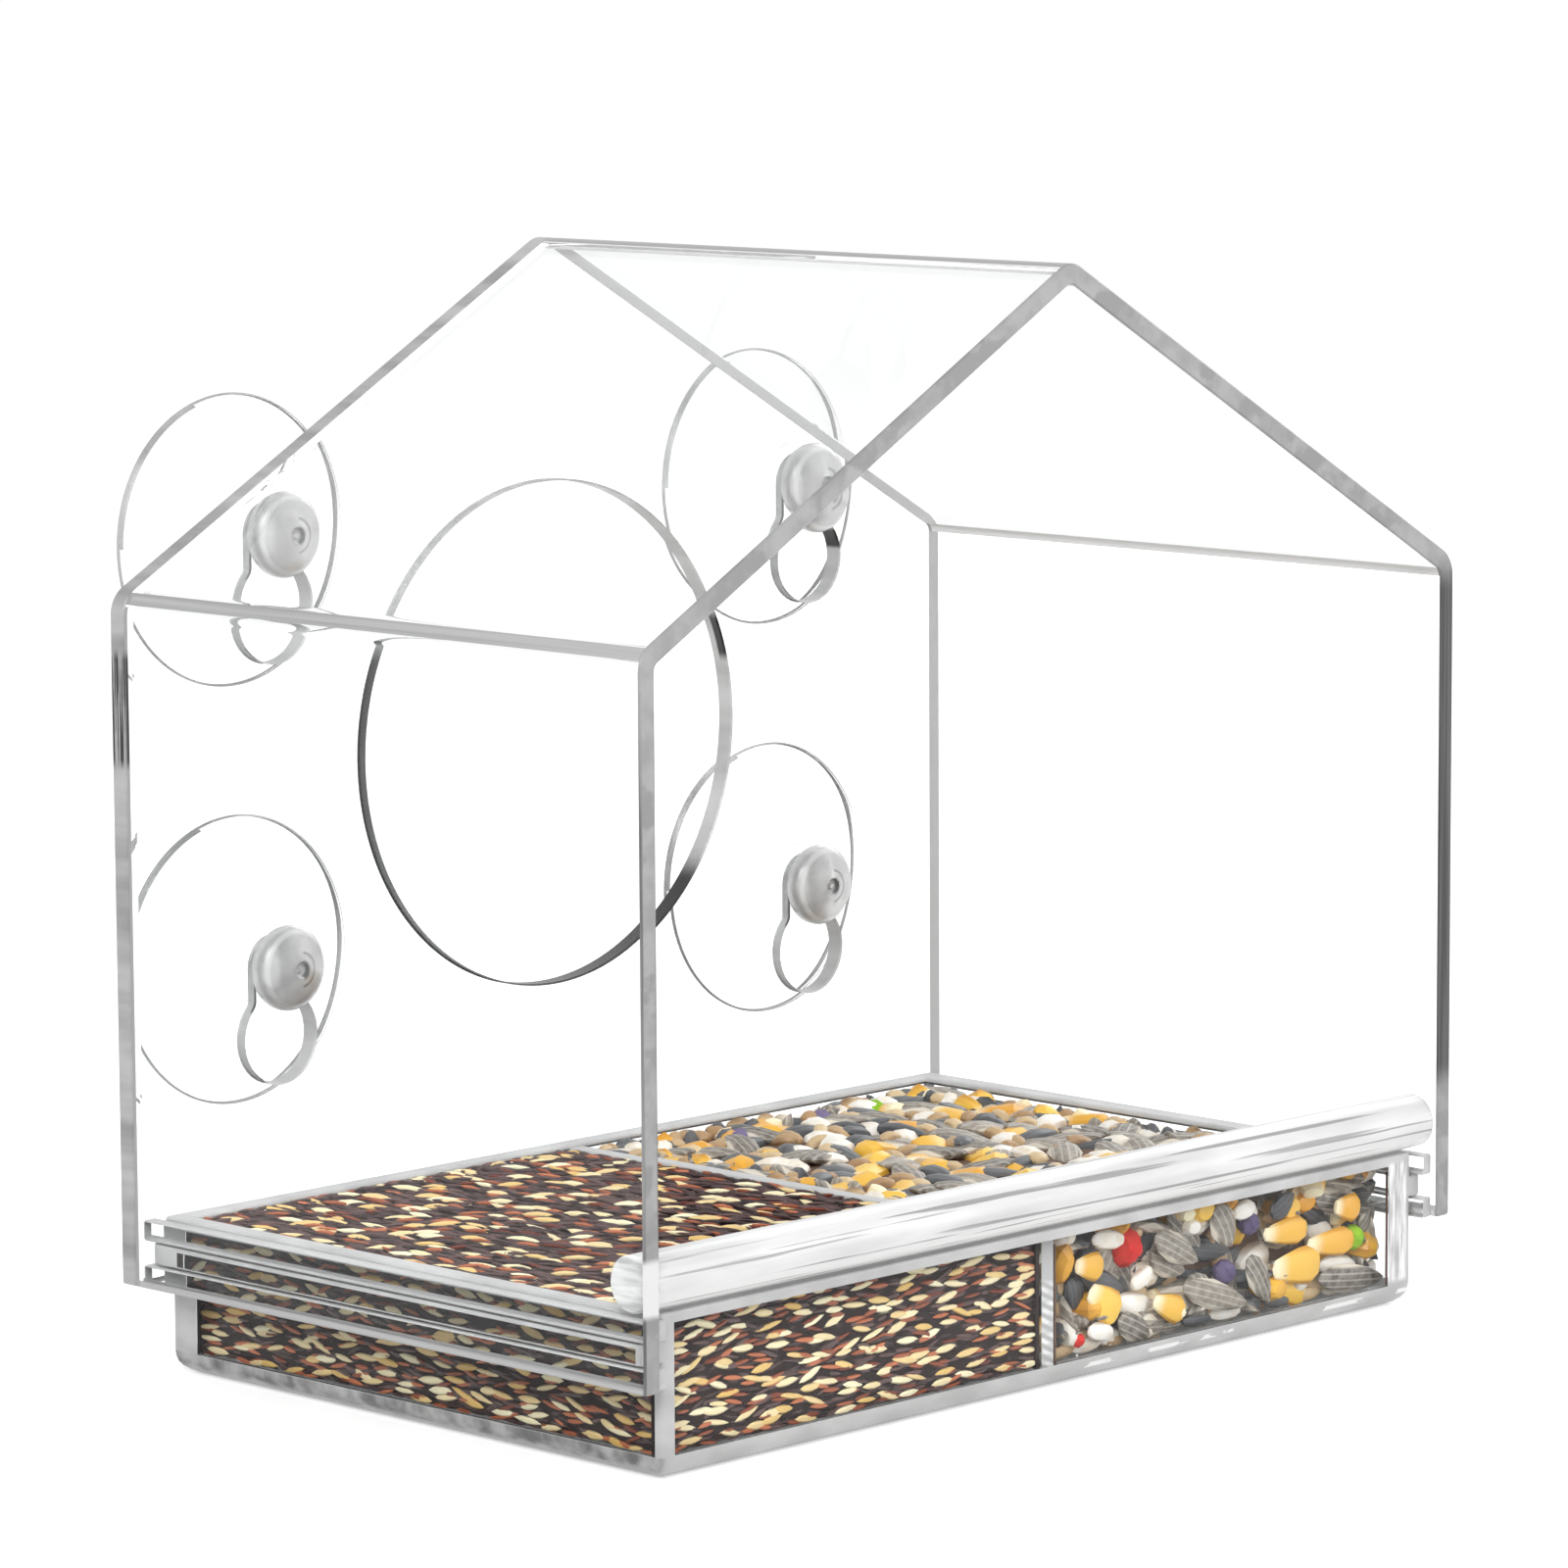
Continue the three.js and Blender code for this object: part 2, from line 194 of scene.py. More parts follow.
# The grey part of each bend, as shares of the way round its arc
EAVE_LINE = (0.15, 0.6)
RIDGE_LINE = (0.25, 0.88)
FAR_LINE = (0, 1)
CLEAR_COLOUR = (0.985, 0.99, 0.99, 1)
FOOT_LINE = 1.1 * MM
REAR_LINE = 0.9 * MM
EDGE_DARK = 0.29
EDGE_LIGHT = 0.37
EDGE_ROUGHNESS = 0.32
NEARLY_BLACK = 0.012
SHADOW_COLOUR = (0.95, 0.955, 0.955, 1)
NEAR_EAVE = (89 * MM, 105 * MM)
PERCH_CONTACT = (23.8 * MM, 31.4 * MM)
# Foot of the painted reflection on the right front post
POST_REFLECTION_FOOT = 34 * MM
LEFT_BORDER_FOOT = 92 * MM
CLEAR, GREY, FAR_CLEAR, RIDGE_GREY = range(4)

shell_low, shell_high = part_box("house_shell")
panel_low, panel_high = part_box("back_panel")
HALF_WIDTH = shell_high.x
SLOPE = math.atan2(ROOF_RISE, HALF_WIDTH)


def unit(vectors):
    """The vectors at length one."""
    return vectors / np.linalg.norm(vectors, axis=-1, keepdims=True)


def rounded_outline(corners, steps):
    """Closed outline through corners (x, z, radius), each an arc that touches both its sides.

    Returns its points, and for each point how far round its arc it lies, from 0 to 1, and the arc's radius.
    """
    points = np.array([corner[:2] for corner in corners])
    radii = np.array([corner[2] for corner in corners])
    arriving = unit(points - np.roll(points, 1, axis=0))
    leaving = unit(np.roll(points, -1, axis=0) - points)
    cross = arriving[:, 0] * leaving[:, 1] - arriving[:, 1] * leaving[:, 0]
    turn = np.arctan2(cross, (arriving * leaving).sum(axis=1))
    start = points - arriving * (radii * np.tan(np.abs(turn) / 2))[:, None]
    inward = np.stack([-arriving[:, 1], arriving[:, 0]], axis=1) * np.sign(turn)[:, None]
    centre = start + inward * radii[:, None]
    first = np.arctan2(*(start - centre).T[::-1])
    share = np.linspace(0, 1, steps + 1)
    angle = first[:, None] + turn[:, None] * share
    arcs = centre[:, None] + radii[:, None, None] * np.stack([np.cos(angle), np.sin(angle)], axis=-1)
    kept = (radii[:, None] > 0) | (share[None] == 0)
    share, radii = (np.broadcast_to(values, kept.shape)[kept] for values in (share, radii[:, None]))
    return arcs[kept], share, radii


def drawn_in(loop, inset):
    """The closed outline moved to its left by inset, along the mean of the two sides at each point."""
    along = unit(np.roll(loop, -1, axis=0) - loop)
    mean = unit(along + np.roll(along, 1, axis=0))
    stretch = inset / (mean * along).sum(axis=1, keepdims=True)
    return loop + np.stack([-mean[:, 1], mean[:, 0]], axis=1) * stretch


def band_quads(rows, count):
    """Quads between neighbouring rows of count points each, which go round once."""
    near = np.arange(count)
    far = (near + 1) % count
    row = np.arange(rows - 1)[:, None] * count
    quads = [row + near, row + far, row + far + count, row + near + count]
    return np.stack(quads, axis=-1).reshape(-1, 4)


def walls_between(loops, stations):
    """Points and quads of closed outlines carried along y, drawn in by the inset of each (y, inset)."""
    points, quads = [], []
    start = 0
    for loop in loops:
        count = len(loop)
        rings = [np.insert(drawn_in(loop, inset), 1, y, axis=1) for y, inset in stations]
        points.append(np.concatenate(rings))
        quads.append(start + band_quads(len(stations), count)[:, [0, 3, 2, 1]])
        start += count * len(stations)
    return np.concatenate(points), np.concatenate(quads)


def flat_face(points, parts, facing):
    """Triangles in the first outline but not in the others, turned to face along y as facing says."""
    flat = [[Vector((x, z, 0)) for x, _, z in points[part]] for part in parts]
    triangles = np.concatenate(parts)[np.array(tessellate_polygon(flat))]
    a, b, c = (points[triangles[:, k]] for k in range(3))
    wrong = np.cross(b - a, c - a)[:, 1] * facing < 0
    triangles[wrong] = triangles[wrong][:, ::-1]
    return triangles


def cut_plate(loops, front, rear, line=0):
    """Plate of these outlines from front to rear with chamfered rims: points, rim quads and face triangles.

    The rim has one more row of points this far from the rear where line is given.
    """
    stations = [(front, ARRIS), (front + ARRIS, 0), (rear - ARRIS, 0), (rear, ARRIS)]
    if line:
        stations.insert(2, (rear - line, 0))
    points, quads = walls_between(loops, stations)
    sizes = np.array([len(loop) for loop in loops])
    starts = np.cumsum(sizes * len(stations)) - sizes * len(stations)
    first = [np.arange(size) + start for size, start in zip(sizes, starts)]
    last = [part + size * (len(stations) - 1) for part, size in zip(first, sizes)]
    return points, quads, np.concatenate([flat_face(points, first, -1), flat_face(points, last, 1)])


def new_piece(name, points, faces, materials, slots=None):
    """Object at the origin with these blocks of faces, smooth but for its sharp edges.

    slots gives each face's material.
    """
    mesh = bpy.data.meshes.new(name)
    listed = [face for block in faces for face in np.asarray(block).tolist()]
    mesh.from_pydata(np.asarray(points).tolist(), [], listed)
    for material in materials:
        mesh.materials.append(material)
    if slots is not None:
        mesh.polygons.foreach_set("material_index", np.asarray(slots, np.int32))
    mesh.shade_smooth()
    mesh.set_sharp_from_angle(angle=SHARP_ANGLE)
    mesh.validate()
    piece = bpy.data.objects.new(name, mesh)
    bpy.context.collection.objects.link(piece)
    return piece


def point_values(piece, name, values):
    """Keeps one number, or one vector, for each point of a piece, for its material to read."""
    kind, key = ("FLOAT", "value") if values.ndim == 1 else ("FLOAT_VECTOR", "vector")
    kept = piece.data.attributes.new(name, kind, "POINT")
    kept.data.foreach_set(key, np.asarray(values, np.float32).ravel())


def let_lamps_through(tree, shader):
    """Light from the lamps passes the clear plastic straight, so that it reaches what lies behind."""
    path = tree.nodes.new("ShaderNodeLightPath")
    open_way = tree.nodes.new("ShaderNodeBsdfTransparent")
    open_way.inputs["Color"].default_value = SHADOW_COLOUR
    mix = tree.nodes.new("ShaderNodeMixShader")
    tree.links.new(path.outputs["Is Shadow Ray"], mix.inputs[0])
    tree.links.new(shader.outputs["BSDF"], mix.inputs[1])
    tree.links.new(open_way.outputs["BSDF"], mix.inputs[2])
    tree.links.new(mix.outputs["Shader"], tree.nodes["Material Output"].inputs["Surface"])


def attribute(tree, name):
    """Number kept on the piece under this name."""
    node = tree.nodes.new("ShaderNodeAttribute")
    node.attribute_name = name
    return node.outputs["Fac"]


def place_axes(tree):
    """X, Y and Z of the point in the feeder's own frame."""
    place = tree.nodes.new("ShaderNodeTexCoord")
    axes = tree.nodes.new("ShaderNodeSeparateXYZ")
    tree.links.new(place.outputs["Object"], axes.inputs[0])
    return axes.outputs


def rise(tree, value, start, end):
    """Smooth step from 0 at start to 1 at end."""
    node = tree.nodes.new("ShaderNodeMapRange")
    node.interpolation_type = "SMOOTHSTEP"
    linked(tree, value, node.inputs["Value"])
    node.inputs["From Min"].default_value = min(start, end)
    node.inputs["From Max"].default_value = max(start, end)
    node.inputs["To Min"].default_value = float(start > end)
    node.inputs["To Max"].default_value = float(start <= end)
    return node.outputs["Result"]


def grey_streaks_group():
    """Greys of an edge that you look into: long soft streaks and small clouds from a dark to a light grey."""
    group = bpy.data.node_groups.new("grey_streaks", "ShaderNodeTree")
    group.interface.new_socket("Stretch", in_out="INPUT", socket_type="NodeSocketVector")
    for name in ("Dark", "Light"):
        group.interface.new_socket(name, in_out="INPUT", socket_type="NodeSocketFloat")
    group.interface.new_socket("Grey", in_out="OUTPUT", socket_type="NodeSocketFloat")
    enter = group.nodes.new("NodeGroupInput")
    leave = group.nodes.new("NodeGroupOutput")
    place = group.nodes.new("ShaderNodeTexCoord")
    stretched = group.nodes.new("ShaderNodeVectorMath")
    stretched.operation = "MULTIPLY"
    group.links.new(place.outputs["Object"], stretched.inputs[0])
    group.links.new(enter.outputs["Stretch"], stretched.inputs[1])
    streaks = group.nodes.new("ShaderNodeTexNoise")
    streaks.inputs["Scale"].default_value = 1
    streaks.inputs["Detail"].default_value = 3
    group.links.new(stretched.outputs[0], streaks.inputs["Vector"])
    share = rise(group, streaks.outputs["Fac"], 0.3, 0.7)
    span = maths(group, "SUBTRACT", enter.outputs["Light"], enter.outputs["Dark"])
    group.links.new(maths(group, "MULTIPLY_ADD", share, span, enter.outputs["Dark"]), leave.inputs["Grey"])
    return group


GREY_STREAKS = grey_streaks_group()


def grey_streaks(tree, stretch, dark, light):
    """Places the streaks in a material; stretch is how fast they change along x, y and z."""
    node = tree.nodes.new("ShaderNodeGroup")
    node.node_tree = GREY_STREAKS
    node.inputs["Stretch"].default_value = stretch
    linked(tree, dark, node.inputs["Dark"])
    linked(tree, light, node.inputs["Light"])
    return node.outputs["Grey"]


def mixed(tree, share, first, second):
    """Number between first and second."""
    return maths(tree, "MULTIPLY_ADD", share, maths(tree, "SUBTRACT", second, first), first)


def grey_colour(tree, value):
    """Colour with this number in its three channels."""
    node = tree.nodes.new("ShaderNodeCombineColor")
    for socket in node.inputs:
        linked(tree, value, socket)
    return node.outputs["Color"]


def clear_plastic(name, index, mirror=CLEAR_MIRROR):
    """Polished clear plastic of this index of refraction, with mirrored light tinted by mirror."""
    material, tree, shader = new_shader(name, {
        "Base Color": CLEAR_COLOUR,
        "Transmission Weight": 1,
        "IOR": index,
        "Specular Tint": mirror,
        "Roughness": 0,
    })
    let_lamps_through(tree, shader)
    return material


def grey_plastic(name, tone, roughness=EDGE_ROUGHNESS):
    """The same plastic where you look along its thickness, as at sawn edges and bends: an opaque grey,
    a painted reflection of the darker room, at sawn edges partly their own frosting.
    """
    material, tree, shader = new_shader(name, {"Roughness": roughness, "IOR": ACRYLIC_IOR})
    tree.links.new(grey_colour(tree, tone(tree)), shader.inputs["Base Color"])
    return material


def within(tree, value, start, end, soft):
    """1 from start to end and 0 outside, with soft borders."""
    begun = rise(tree, value, start - soft, start + soft)
    return maths(tree, "MULTIPLY", begun, rise(tree, value, end + soft, end - soft))


def joined(tree, operation, masks):
    """The masks taken together one after the other."""
    result = masks[0]
    for mask in masks[1:]:
        result = maths(tree, operation, result, mask)
    return result


def all_of(tree, *masks):
    """Product of the masks."""
    return joined(tree, "MULTIPLY", masks)


def either(tree, *masks):
    """Largest of the masks."""
    return joined(tree, "MAXIMUM", masks)


def house_corners(inset, bend):
    """Corners of walls and roof, seen from the front and counter-clockwise, drawn in from the outside.

    Each wall has one more point above its foot, where its grey line ends.
    """
    half = HALF_WIDTH - inset
    down = inset / math.cos(SLOPE)
    foot = shell_low.z
    eave = foot + EAVE_HEIGHT + inset * math.tan(SLOPE) - down
    ridge = foot + EAVE_HEIGHT + ROOF_RISE - down
    edge = 2 * ARRIS
    line = foot + FOOT_LINE
    return [
        (half, foot, edge), (half, line, 0), (half, eave, bend), (0, ridge, bend),
        (-half, eave, bend), (-half, line, 0), (-half, foot, edge),
    ]


def sheet_tone(tree):
    """Mid grey with small clouds, lighter along the bends and rear edges, and dark over the right front post:
    a painted reflection of the room. On the far side the grey is painted pale, painted light for the light it
    misses.

    The left post has darker borders, and is bright where the perch is cemented to it. The rear edge of
    the left wall is nearly black beside the eave.
    """
    x, y, z = place_axes(tree)
    clouds = grey_streaks(tree, (260, 60, 260), EDGE_DARK, EDGE_LIGHT)
    patches = grey_streaks(tree, (160, 160, 160), -0.9, 1.1)
    # Darker patches in the edges' painted grey.
    mottled = mixed(tree, rise(tree, patches, 0.3, 0.9), clouds, 0.26)
    bends = grey_streaks(tree, (900, 9, 900), 0.33, 0.5)
    # Painted reflection: the right front post is nearly black where it mirrors the room.
    post = grey_streaks(tree, (2600, 2600, 30), 0.015, 0.09)
    ridge = rise(tree, z, shell_high.z - 8 * MM, shell_high.z - 5 * MM)
    # Painted light: away from the ridge the far side is a pale 0.8, for the light it misses.
    bends = mixed(tree, ridge, mixed(tree, rise(tree, x, 0, 5 * MM), bends, 0.8), 0.34)
    wall = rise(tree, x, -HALF_WIDTH + 2 * MM, -HALF_WIDTH + 1 * MM)
    near_eave = within(tree, z, *NEAR_EAVE, 1 * MM)
    rear = mixed(tree, wall, 0.42, mixed(tree, near_eave, 0.36, 0.03))
    bends = mixed(tree, rise(tree, y, panel_low.y - 1 * MM, panel_low.y - 0.97 * MM), bends, rear)
    in_front = rise(tree, y, shell_low.y + 0.5 * MM, shell_low.y + 0.3 * MM)
    below_eave = shell_low.z + EAVE_HEIGHT - 2 * MM
    post_reflection = all_of(
        tree, in_front, rise(tree, x, HALF_WIDTH - 4 * MM, HALF_WIDTH - 3.5 * MM),
        within(tree, z, POST_REFLECTION_FOOT, below_eave, 3 * MM),
    )
    at_perch = all_of(tree, in_front, rise(tree, x, 0, -1 * MM), within(tree, z, *PERCH_CONTACT, 0.6 * MM))
    toned = mixed(tree, post_reflection, mixed(tree, in_front, bends, mottled), post)
    borders = either(
        tree, rise(tree, x, -HALF_WIDTH + 0.5 * MM, -HALF_WIDTH + 0.3 * MM),
        within(tree, x, -HALF_WIDTH + 2.6 * MM, -HALF_WIDTH + 3.2 * MM, 0.1 * MM),
    )
    left_post = all_of(tree, in_front, borders, rise(tree, z, below_eave, LEFT_BORDER_FOOT))
    toned = mixed(tree, left_post, toned, grey_streaks(tree, (1800, 1800, 40), 0.1, 0.34))
    return mixed(tree, at_perch, toned, 0.75)


sheet_outline, sheet_share, sheet_radii = rounded_outline(
    house_corners(0, BEND_RADIUS + SHEET) + house_corners(SHEET, BEND_RADIUS)[::-1], BEND_STEPS
)
sheet_rear = panel_low.y - CEMENT_GAP
sheet_points, sheet_quads, sheet_ends = cut_plate([sheet_outline], shell_low.y, sheet_rear, REAR_LINE)
quad_middle = sheet_points[sheet_quads].mean(axis=1)
sheet_middle = (shell_low.y + panel_low.y) / 2
at_rim = quad_middle[:, 1] < shell_low.y + ARRIS
at_foot = quad_middle[:, 2] < shell_low.z + FOOT_LINE
third = np.digitize(sheet_outline[:, 0], [-HALF_WIDTH / 2, HALF_WIDTH / 2])
line_low, line_high = np.array([EAVE_LINE, RIDGE_LINE, FAR_LINE])[third].T
own_side = (sheet_radii > BEND_RADIUS + ARRIS) != (third == 2)
bent = (sheet_radii >= BEND_RADIUS) & own_side & (sheet_share >= line_low) & (sheet_share < line_high)
at_bend = np.tile(bent, len(sheet_quads) // len(bent))
ridge_arcs = (sheet_radii >= BEND_RADIUS) & (sheet_share < 1) & (third == 1)
at_ridge = np.tile(ridge_arcs, len(sheet_quads) // len(ridge_arcs))
far_side = quad_middle[:, 0] > 0.5 * MM
end_middle = sheet_points[sheet_ends].mean(axis=1)
end_slots = np.where((end_middle[:, 1] < sheet_middle) | (end_middle[:, 0] > 1 * MM), GREY, FAR_CLEAR)
at_rear = (quad_middle[:, 0] < -HALF_WIDTH + ARRIS) & (quad_middle[:, 1] > sheet_rear - REAR_LINE)
clear_slots = np.where(at_ridge, RIDGE_GREY, np.where(far_side, FAR_CLEAR, CLEAR))
sheet_slots = np.append(np.where(at_rim | at_foot | at_bend | at_rear, GREY, clear_slots), end_slots)
sheet_coats = [
    clear_plastic("bent_sheet_clear", SHEET_IOR),
    grey_plastic("bent_sheet_edge", sheet_tone),
    clear_plastic("bent_sheet_far_side", FAR_IOR, FAR_MIRROR),
    # Painted highlight: the ridge's arcs outside its grey line are an opaque near-white, for the white studio
    # that shows in them.
    grey_plastic("bent_sheet_ridge", lambda tree: grey_streaks(tree, (500, 9, 500), 0.8, 0.9)),
]
bent_sheet = new_piece("bent_sheet", sheet_points, [sheet_quads, sheet_ends], sheet_coats, sheet_slots)
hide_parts("house_shell")
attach(bent_sheet, "house")

# Panel at the window: 3 mm sheet cut by laser, with a round opening and four keyholes, cemented to
# the rear edges of the bent sheet. Its cut rims are dark where they mirror the room.
OPENING_RADIUS = 37.5 * MM
OPENING_BELOW_EAVE = 28 * MM
OPENING_SIDES = 160
KEYHOLE_ROUND = 6.8 * MM
KEYHOLE_SLOT = 4.5 * MM
KEYHOLE_TRAVEL = 10.5 * MM
KEYHOLE_FILLET = 2 * MM
KEYHOLE_STEPS = 14
CUT_RIM, OUTER_RIM = 1, 2
CUPS = ("upper_left", "upper_right", "lower_left", "lower_right")


def cup_axis(name):
    """X and Z of a suction cup's axis."""
    low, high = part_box(f"suction_cup_{name}")
    return (low.x + high.x) / 2, (low.z + high.z) / 2


def arc(x, z, radius, start, turn, steps):
    """Points of an arc from the angle start through turn."""
    angle = start + turn * np.linspace(0, 1, steps + 1)
    return np.stack([x + radius * np.cos(angle), z + radius * np.sin(angle)], axis=1)


def keyhole(x, cup_z):
    """Round part, a slot above it, and a fillet on each side between the two."""
    z = cup_z - KEYHOLE_TRAVEL
    across = KEYHOLE_SLOT + KEYHOLE_FILLET
    up = math.sqrt((KEYHOLE_ROUND + KEYHOLE_FILLET) ** 2 - across**2)
    lean = math.atan2(up, across)
    return np.concatenate([
        arc(x, cup_z, KEYHOLE_SLOT, 0, math.pi, KEYHOLE_STEPS),
        arc(x - across, z + up, KEYHOLE_FILLET, 0, -lean, KEYHOLE_STEPS),
        arc(x, z, KEYHOLE_ROUND, math.pi - lean, math.pi + 2 * lean, 2 * KEYHOLE_STEPS)[1:-1],
        arc(x + across, z + up, KEYHOLE_FILLET, math.pi + lean, -lean, KEYHOLE_STEPS),
    ])


panel_outline = rounded_outline(house_corners(0, BEND_RADIUS + SHEET), BEND_STEPS)[0]
opening_z = shell_low.z + EAVE_HEIGHT - OPENING_BELOW_EAVE
opening = arc(0, opening_z, OPENING_RADIUS, 0, 2 * math.pi, OPENING_SIDES)[:-1]
holes = [opening] + [keyhole(*cup_axis(name)) for name in CUPS]
panel_loops = [panel_outline] + [hole[::-1] for hole in holes]
panel_points, panel_quads, panel_sides = cut_plate(panel_loops, panel_low.y, panel_high.y)


def rim_tone(tree):
    """Rims of the holes: light grey with streaks across, nearly black where they mirror the room."""
    x, y, z = place_axes(tree)
    light = grey_streaks(tree, (150, 20, 150), 0.36, 0.54)
    off = maths(tree, "SUBTRACT", z, opening_z)
    squares = maths(tree, "ADD", maths(tree, "MULTIPLY", x, x), maths(tree, "MULTIPLY", off, off))
    on_opening = rise(tree, maths(tree, "SQRT", squares), OPENING_RADIUS + 2 * MM, OPENING_RADIUS + 1 * MM)
    left = all_of(tree, rise(tree, x, 4 * MM, -4 * MM), rise(tree, off, 19 * MM, 14 * MM))
    bottom = rise(tree, off, -20 * MM, -25 * MM)
    glint = all_of(
        tree, rise(tree, x, 20 * MM, 24 * MM), within(tree, off, 9 * MM, 16 * MM, 1 * MM),
        rise(tree, y, panel_low.y + 1.7 * MM, panel_low.y + 1.3 * MM),
    )
    opening_dark = all_of(tree, on_opening, either(tree, left, bottom, glint))
    hole_x, hole_z = cup_axis("upper_right")
    slots = [
        within(tree, x, place - KEYHOLE_SLOT - 0.8 * MM, place - KEYHOLE_SLOT + 1 * MM, 0.2 * MM)
        for place in (-hole_x, hole_x)
    ]
    front_part = rise(tree, y, panel_low.y + 1.5 * MM, panel_low.y + 1 * MM)
    slots = [all_of(tree, mask, front_part) for mask in slots]
    fillet = all_of(
        tree, within(tree, x, hole_x + 3 * MM, hole_x + 9 * MM, 0.3 * MM),
        within(tree, z, hole_z - 9.3 * MM, hole_z - 6.3 * MM, 0.4 * MM),
    )
    return mixed(tree, either(tree, opening_dark, *slots, fillet), light, NEARLY_BLACK)


def outline_tone(tree):
    """Outer rim: mid grey with streaks nearly black at the near eave, and painted pale on the far wall:
    painted light for the light it misses.
    """
    x, y, z = place_axes(tree)
    clouds = grey_streaks(tree, (200, 30, 200), 0.28, 0.5)
    # Painted light: the far wall's rim is lightened, as it gets little light.
    far = rise(tree, x, panel_high.x - 6 * MM, panel_high.x - 1 * MM)
    streaks = grey_streaks(tree, (2600, 2600, 40), -0.6, 1.6)
    corner = all_of(
        tree, rise(tree, x, -panel_high.x + 0.5 * MM, -panel_high.x + 0.3 * MM),
        within(tree, z, *NEAR_EAVE, 1 * MM), rise(tree, streaks, 0.15, 0.55),
    )
    return mixed(tree, corner, mixed(tree, far, clouds, 0.6), NEARLY_BLACK)


panel_coats = [
    clear_plastic("panel_clear", SHEET_IOR),
    grey_plastic("panel_cut_rim", rim_tone),
    grey_plastic("panel_outer_rim", outline_tone),
]
outline_quads = len(panel_quads) * len(panel_outline) // sum(len(loop) for loop in panel_loops)
panel_slots = np.full(len(panel_quads) + len(panel_sides), CLEAR)
panel_slots[: len(panel_quads)] = CUT_RIM
panel_slots[:outline_quads] = OUTER_RIM
window_panel = new_piece("window_panel", panel_points, [panel_quads, panel_sides], panel_coats, panel_slots)
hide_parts("back_panel")
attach(window_panel, "house")

# Rails: four strips of clear acrylic, cemented inside the walls above and below the tray's flange.
# Their edges are painted grey lines, a painted reflection of the darker room seen through the walls, wider
# along the lower edge of the upper ones.
CONTACT_IOR = 1.12
RAIL_EDGE = 0.25 * MM
RAIL_STEPS = 5
UPPER_LINE = 0.55 * MM
LOWER_LINE = RAIL_EDGE * 1.1
RAILS = ("lower_rail_left", "lower_rail_right", "upper_rail_left", "upper_rail_right")

rail_coats = [
    clear_plastic("rail_clear", CONTACT_IOR),
    grey_plastic("rail_edge", lambda tree: grey_streaks(tree, (300, 30, 300), 0.48, 0.58)),
]
for node in RAILS:
    low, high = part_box(node)
    near_x, far_x = (low.x + CEMENT_GAP, high.x) if low.x < 0 else (low.x, high.x - CEMENT_GAP)
    line = low.z + (UPPER_LINE if node.startswith("upper") else LOWER_LINE)
    section = [
        (far_x, low.z, RAIL_EDGE), (far_x, line, 0), (far_x, high.z, RAIL_EDGE),
        (near_x, high.z, RAIL_EDGE), (near_x, line, 0), (near_x, low.z, RAIL_EDGE),
    ]
    points, quads, ends = cut_plate([rounded_outline(section, RAIL_STEPS)[0]], low.y, high.y - CEMENT_GAP)
    height = points[quads].mean(axis=1)[:, 2]
    slots = np.append((height < line) | (height > high.z - RAIL_EDGE), np.ones(len(ends), bool))
    strip = new_piece(node.replace("rail", "guide"), points, [quads, ends], rail_coats, slots)
    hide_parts(node)
    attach(strip, "house")

# Seed tray: one clear moulding with soft corners, a flange along each side and drain holes in its
# floor. It is clear where seed lies behind it, and painted grey where you look into its thickness: a
# painted reflection of the darker room.
TRAY_WALL = 3 * MM
TRAY_FLOOR = 2.6 * MM
TRAY_CORNER = 1 * MM
TRAY_INNER_CORNER = 0.5 * MM
TRAY_SIGHT = 2.5 * MM
TRAY_IOR = 1.3
TRAY_FOOT_RADIUS = 3.4 * MM
TRAY_INNER_RADIUS = 0.8 * MM
TRAY_EDGE = 0.45 * MM
FLANGE_REACH = 2.2 * MM
FLANGE_BOTTOM = 16.5 * MM
FLANGE_TOP = 19.5 * MM
FLANGE_EDGE = 0.3 * MM
FLANGE_END = 0.05
FLANGE_LINE = 0.6 * MM
RIM_LINE = 1.5 * MM
INNER_LINE = 0.7 * MM
CORNER_STEPS = 6
EDGE_STEPS = 6
DRAIN_RADIUS = 1.25 * MM
DRAIN_MARGIN = 9 * MM
DRAIN_PITCH = 22 * MM
DRAIN_SIDES = 20
DIVIDER_HALF = 1.5 * MM

tray_low, tray_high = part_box("seed_tray")
tray_half = tray_high.x - FLANGE_REACH
flange_half = tray_high.x
inside_x = tray_half - TRAY_WALL
inside_front = tray_low.y + TRAY_WALL
inside_rear = tray_high.y - TRAY_WALL
STRIP_REAR = inside_rear - TRAY_SIGHT
STRIP_FAR = inside_x - TRAY_SIGHT
STRIP_NEAR = -inside_x - 0.2 * MM


def tray_ring(inset, half, z):
    """Rectangle with round corners at height z, drawn in by inset, counter-clockwise from above.

    It has one more point on the left and two at the front, where the end of a wall shows through.
    The flange runs the tray's whole depth, so its own edges are round along the sides alone.
    """
    corner = max(TRAY_CORNER - inset, TRAY_INNER_CORNER)
    end_inset = inset * (FLANGE_END if half > tray_half else 1)
    right_x, left_x = half - inset - corner, -half + inset + corner
    rear_y, front_y = tray_high.y - end_inset - corner, tray_low.y + end_inset + corner
    centres = np.array([(right_x, rear_y), (left_x, rear_y), (left_x, front_y), (right_x, front_y)])
    angle = (np.arange(4)[:, None] + np.linspace(0, 1, CORNER_STEPS + 1)) * math.pi / 2
    arcs = (centres[:, None] + corner * np.stack([np.cos(angle), np.sin(angle)], axis=-1)).reshape(-1, 2)
    front = tray_low.y + end_inset
    extra = [(-half + inset, STRIP_REAR), (STRIP_NEAR, front), (STRIP_FAR, front)]
    flat = np.insert(arcs, np.array([2, 3, 3]) * (CORNER_STEPS + 1), extra, axis=0)
    return np.insert(flat, 2, z, axis=1)


